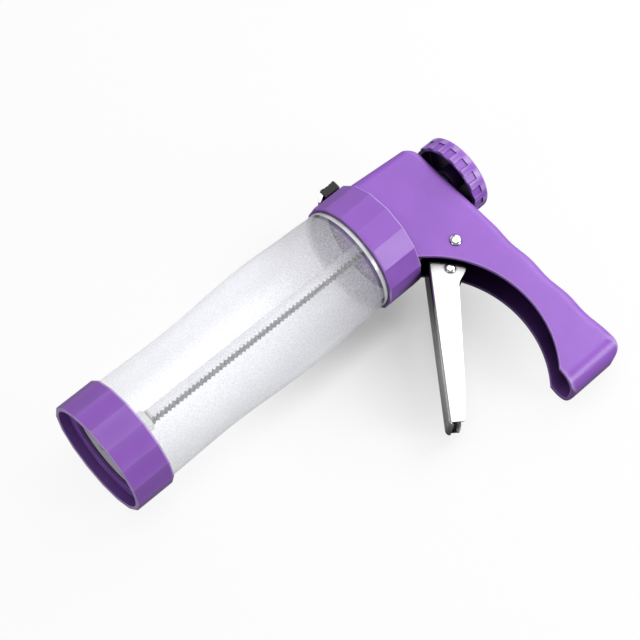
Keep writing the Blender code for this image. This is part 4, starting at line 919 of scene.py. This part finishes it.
def trigger_grid():
    """Rows up the channel, each from one free edge round both folds to the other.

    The edge behind follows the side outline. The low end lies on z's small corner round and curls in
    by end_curl - sqrt(end_curl^2 - depth^2). Above the web the rows go on in the ears alone.
    Returns the grid and the faces to leave out.
    """
    outline = eased([(web_x, web_low, 0.0), (-7.1, web_low, 4.5), (-5.2, -84.0, 2.0),
                     (-0.3, -21.0, 3.0), (3.1, -16.0, 3.0), (ear, -5.8, 4.3), (ear, ear, 6.5),
                     (-ear, ear, 3.6), (web_x, web_top, 0.0)], 8)
    behind, ahead = outline[9:63], outline[63:][::-1]
    turn = np.linspace(np.pi / 2, 0, 7)[1:-1]
    web_half = flange - fold_round
    web_z, out = np.array([0.0, 1.0, 2.0, 3.0, 4.0, 5.0, web_half]), np.linspace(0, 1, 11)
    z = np.concatenate([web_z, web_half + fold_round * np.cos(turn), flange + 0 * out])
    fold = np.concatenate([0 * web_z, fold_round - fold_round * np.sin(turn), fold_round + 0 * out])
    past = np.maximum(z - (flange - corner_round), 0)
    low = web_low + corner_round - half_chord(corner_round, past)
    high = web_top + fold * (ear - web_top) / (-ear - web_x)
    rows = np.concatenate([[0.0, 0.002, 0.005, 0.01, 0.016, 0.023, 0.03, 0.04, 0.05],
                           np.linspace(0.065, 1, 56)])[:, None]
    y = low + (high - low) * rows
    depth = np.maximum(web_low + end_curl - y, 0)
    curl = end_curl - half_chord(end_curl, depth)
    above = high + (ear - high) * np.sin(np.linspace(0, np.pi / 2, 12))[1:, None]
    on_ear = np.arange(len(z)) >= len(z) - len(out)
    y = np.concatenate([y, np.where(on_ear, above, high)])
    share = np.concatenate([0 * z[:-len(out)], out])
    left = np.where(on_ear & (y > high), np.interp(y, ahead[:, 1], ahead[:, 0]), web_x + fold)
    left[:len(rows)] += curl * np.clip(fold_round - fold, 0, 1)
    x = left + share * (np.interp(y, behind[:, 1], behind[:, 0]) - left)
    near = leaned(x, y, z)
    dropped = ~(on_ear[1:] & on_ear[:-1]) & (np.arange(len(y) - 1)[:, None] >= len(rows) - 1)
    return (np.concatenate([near[:, :0:-1] * (1.0, 1.0, -1.0), near], 1),
            np.concatenate([dropped[:, ::-1], dropped], 1))


# Its nook reaches 45 mm, so painted shade darkens the flanges where the housing closes over them.
brushed = metal("polished_stainless_trigger", "#e2e2e3", 0.16, (1.0, 0.05, 1.0), 1600.0, 0.008,
                trigger_lean, 0.045)
channel, dropped = trigger_grid()
trigger = skin("trigger_skin", [channel], brushed, (False, False), dropped, 1.0)
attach(trigger, "lever")
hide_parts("trigger")

# Trigger rivet
# Polished steel rivet that holds the trigger's flanges on the pusher arm between them.
# Its ends are set to domes against the flanges.
rivet_at = leaned(np.float64(-3.8), np.float64(-13.2), 0.0)[:2]
rivet = skin("trigger_rivet_skin", [upright(domed(1.9, 2.7, 0.9, 8.3), rivet_at, 36)], polished)
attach(rivet, "lever")
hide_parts("trigger_rivet")

# Pusher arm, spacers and drive plate
# Stamped and zinc-plated: the bell-crank arm between the flanges, a turned spacer at each side of
# it, and the plate that the arm tips against the teeth of the rod and pushes forward.
for node in ("pusher_arm", "near_spacer", "far_spacer", "drive_plate"):
    dressed(node, plated, 0.2)

# Knob
# Cup of purple ABS screwed on the end of the rod, to pull it back and to turn its teeth away.
# It is open in front, and sixteen shallow notches run in from its front rim.
knob_front, knob_back, knob_radius, notch_end = 231.4, 240.6, 21.4, 236.8
notches, notch_depth = 16, 0.7
cup_depth, cup_inside, stub_radius, stub_back, head_room, face_end = 238.4, 18.9, 6.5, 239.3, 4.3, 241.8


def knob_grid():
    """A turned cup with flat notches in its band: a flat's distance over the cosine is its radius."""
    profile = eased([
        (knob_front, knob_radius, 0.4), (notch_end, knob_radius, 0.0),
        (notch_end + 0.15, knob_radius, 0.0), (knob_back, knob_radius, 1.0), (241.5, 10.7, 0.0),
        (face_end, head_room, 0.3), (stub_back, head_room, 0.0), (stub_back, screw_room, 0.0),
        (cup_depth, screw_room, 0.0), (cup_depth, head_room, 0.0), (knob_front, head_room, 0.3),
        (knob_front, stub_radius, 0.4), (cup_depth, stub_radius, 0.5), (cup_depth, cup_inside, 0.8),
        (knob_front, cup_inside, 0.3)], 4)
    apart = 2 * np.pi / notches
    half = apart / 4
    near = np.array([-half - 0.009, -half, -half / 2, 0.0, half / 2, half, half + 0.009,
                     1.4 * half, 2 * half, 2.6 * half])
    turns = (apart * (np.arange(notches)[:, None] + 0.5) + near).reshape(-1)
    off = np.abs(turns % apart - apart / 2)
    floor = np.where(off < half + 0.001, (knob_radius - notch_depth) / np.cos(off), 99.0)
    x, radius = profile[:, :1], profile[:, 1:]
    on_band = (x < notch_end + 0.05) & (radius > cup_inside + 0.6)
    wide = np.where(on_band, np.minimum(radius, floor), radius)
    return spun(x, wide, turns)


knob = skin("knob_skin", [knob_grid()], abs_purple, (True, True))
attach(knob, "rod")
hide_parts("knob")
